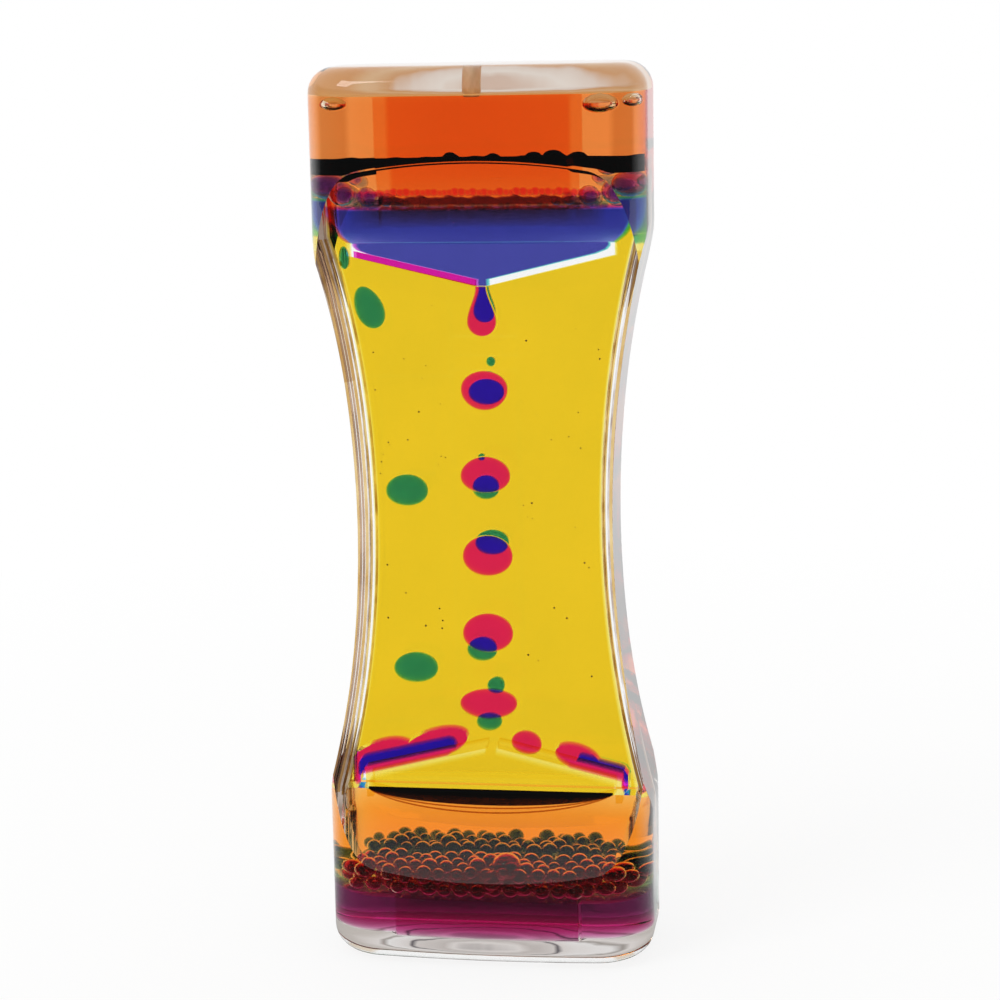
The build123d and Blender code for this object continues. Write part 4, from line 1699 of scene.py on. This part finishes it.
world = bpy.data.worlds.new("studio")
bpy.context.scene.world = world
world.use_nodes = True
tree = world.node_tree
parts = add_node(tree, "SeparateXYZ", {0: place_node(tree, "Generated")}).outputs
turn = math_node(tree, "ADD", math_node(tree, "ARCTAN2", parts["X"], parts["Y"]), AZIMUTH)
wave = math_node(tree, "COSINE", math_node(tree, "MULTIPLY", turn, BAND_COUNT))
through = mix_colours(tree, span_node(tree, wave, *BAND_EDGE), SIDE_BANDS, WHITE)
through = mix_colours(tree, span_node(tree, parts["Z"], *CEILING_EDGE), through, CEILING)
through = mix_colours(tree, span_node(tree, parts["Z"], *ROOM_EDGE), through, ROOM)
behind = span_node(tree, parts["Y"], *MIRROR_BACK)
overhead = span_node(tree, parts["Z"], *MIRROR_TOP)
mirrored_room = mix_colours(tree, math_node(tree, "MAXIMUM", behind, overhead), REFLECTED, WHITE)
path = tree.nodes.new("ShaderNodeLightPath").outputs
colour = mix_colours(tree, path["Is Glossy Ray"], AMBIENT, mirrored_room)
colour = mix_colours(tree, path["Is Transmission Ray"], colour, through)
colour = mix_colours(tree, path["Is Camera Ray"], colour, WHITE)
background = tree.nodes["Background"]
background.inputs["Strength"].default_value = 1
tree.links.new(colour, background.inputs["Color"])
print("world of", len(tree.nodes), "nodes")

# %% Lamp and render limits
LAMP_ENERGY = 3
LAMP_SIZE = 0.4
LAMP_PLACE = Vector((-0.5, -0.5, 0.8))
BOUNCES = 64  # light crosses many clear bodies

key = bpy.data.lights.new("key", "AREA")
key.energy = LAMP_ENERGY
key.size = LAMP_SIZE
lamp = bpy.data.objects.new("key", key)
lamp.location = LAMP_PLACE
lamp.rotation_euler = (AIM - LAMP_PLACE).to_track_quat("-Z", "Y").to_euler()
scene = bpy.context.scene
scene.collection.objects.link(lamp)
scene.view_settings.view_transform = "Standard"
for limit in ("max_bounces", "transmission_bounces", "transparent_max_bounces", "glossy_bounces"):
    setattr(scene.cycles, limit, BOUNCES)
print("lamp of", LAMP_ENERGY, "W,", BOUNCES, "bounces")
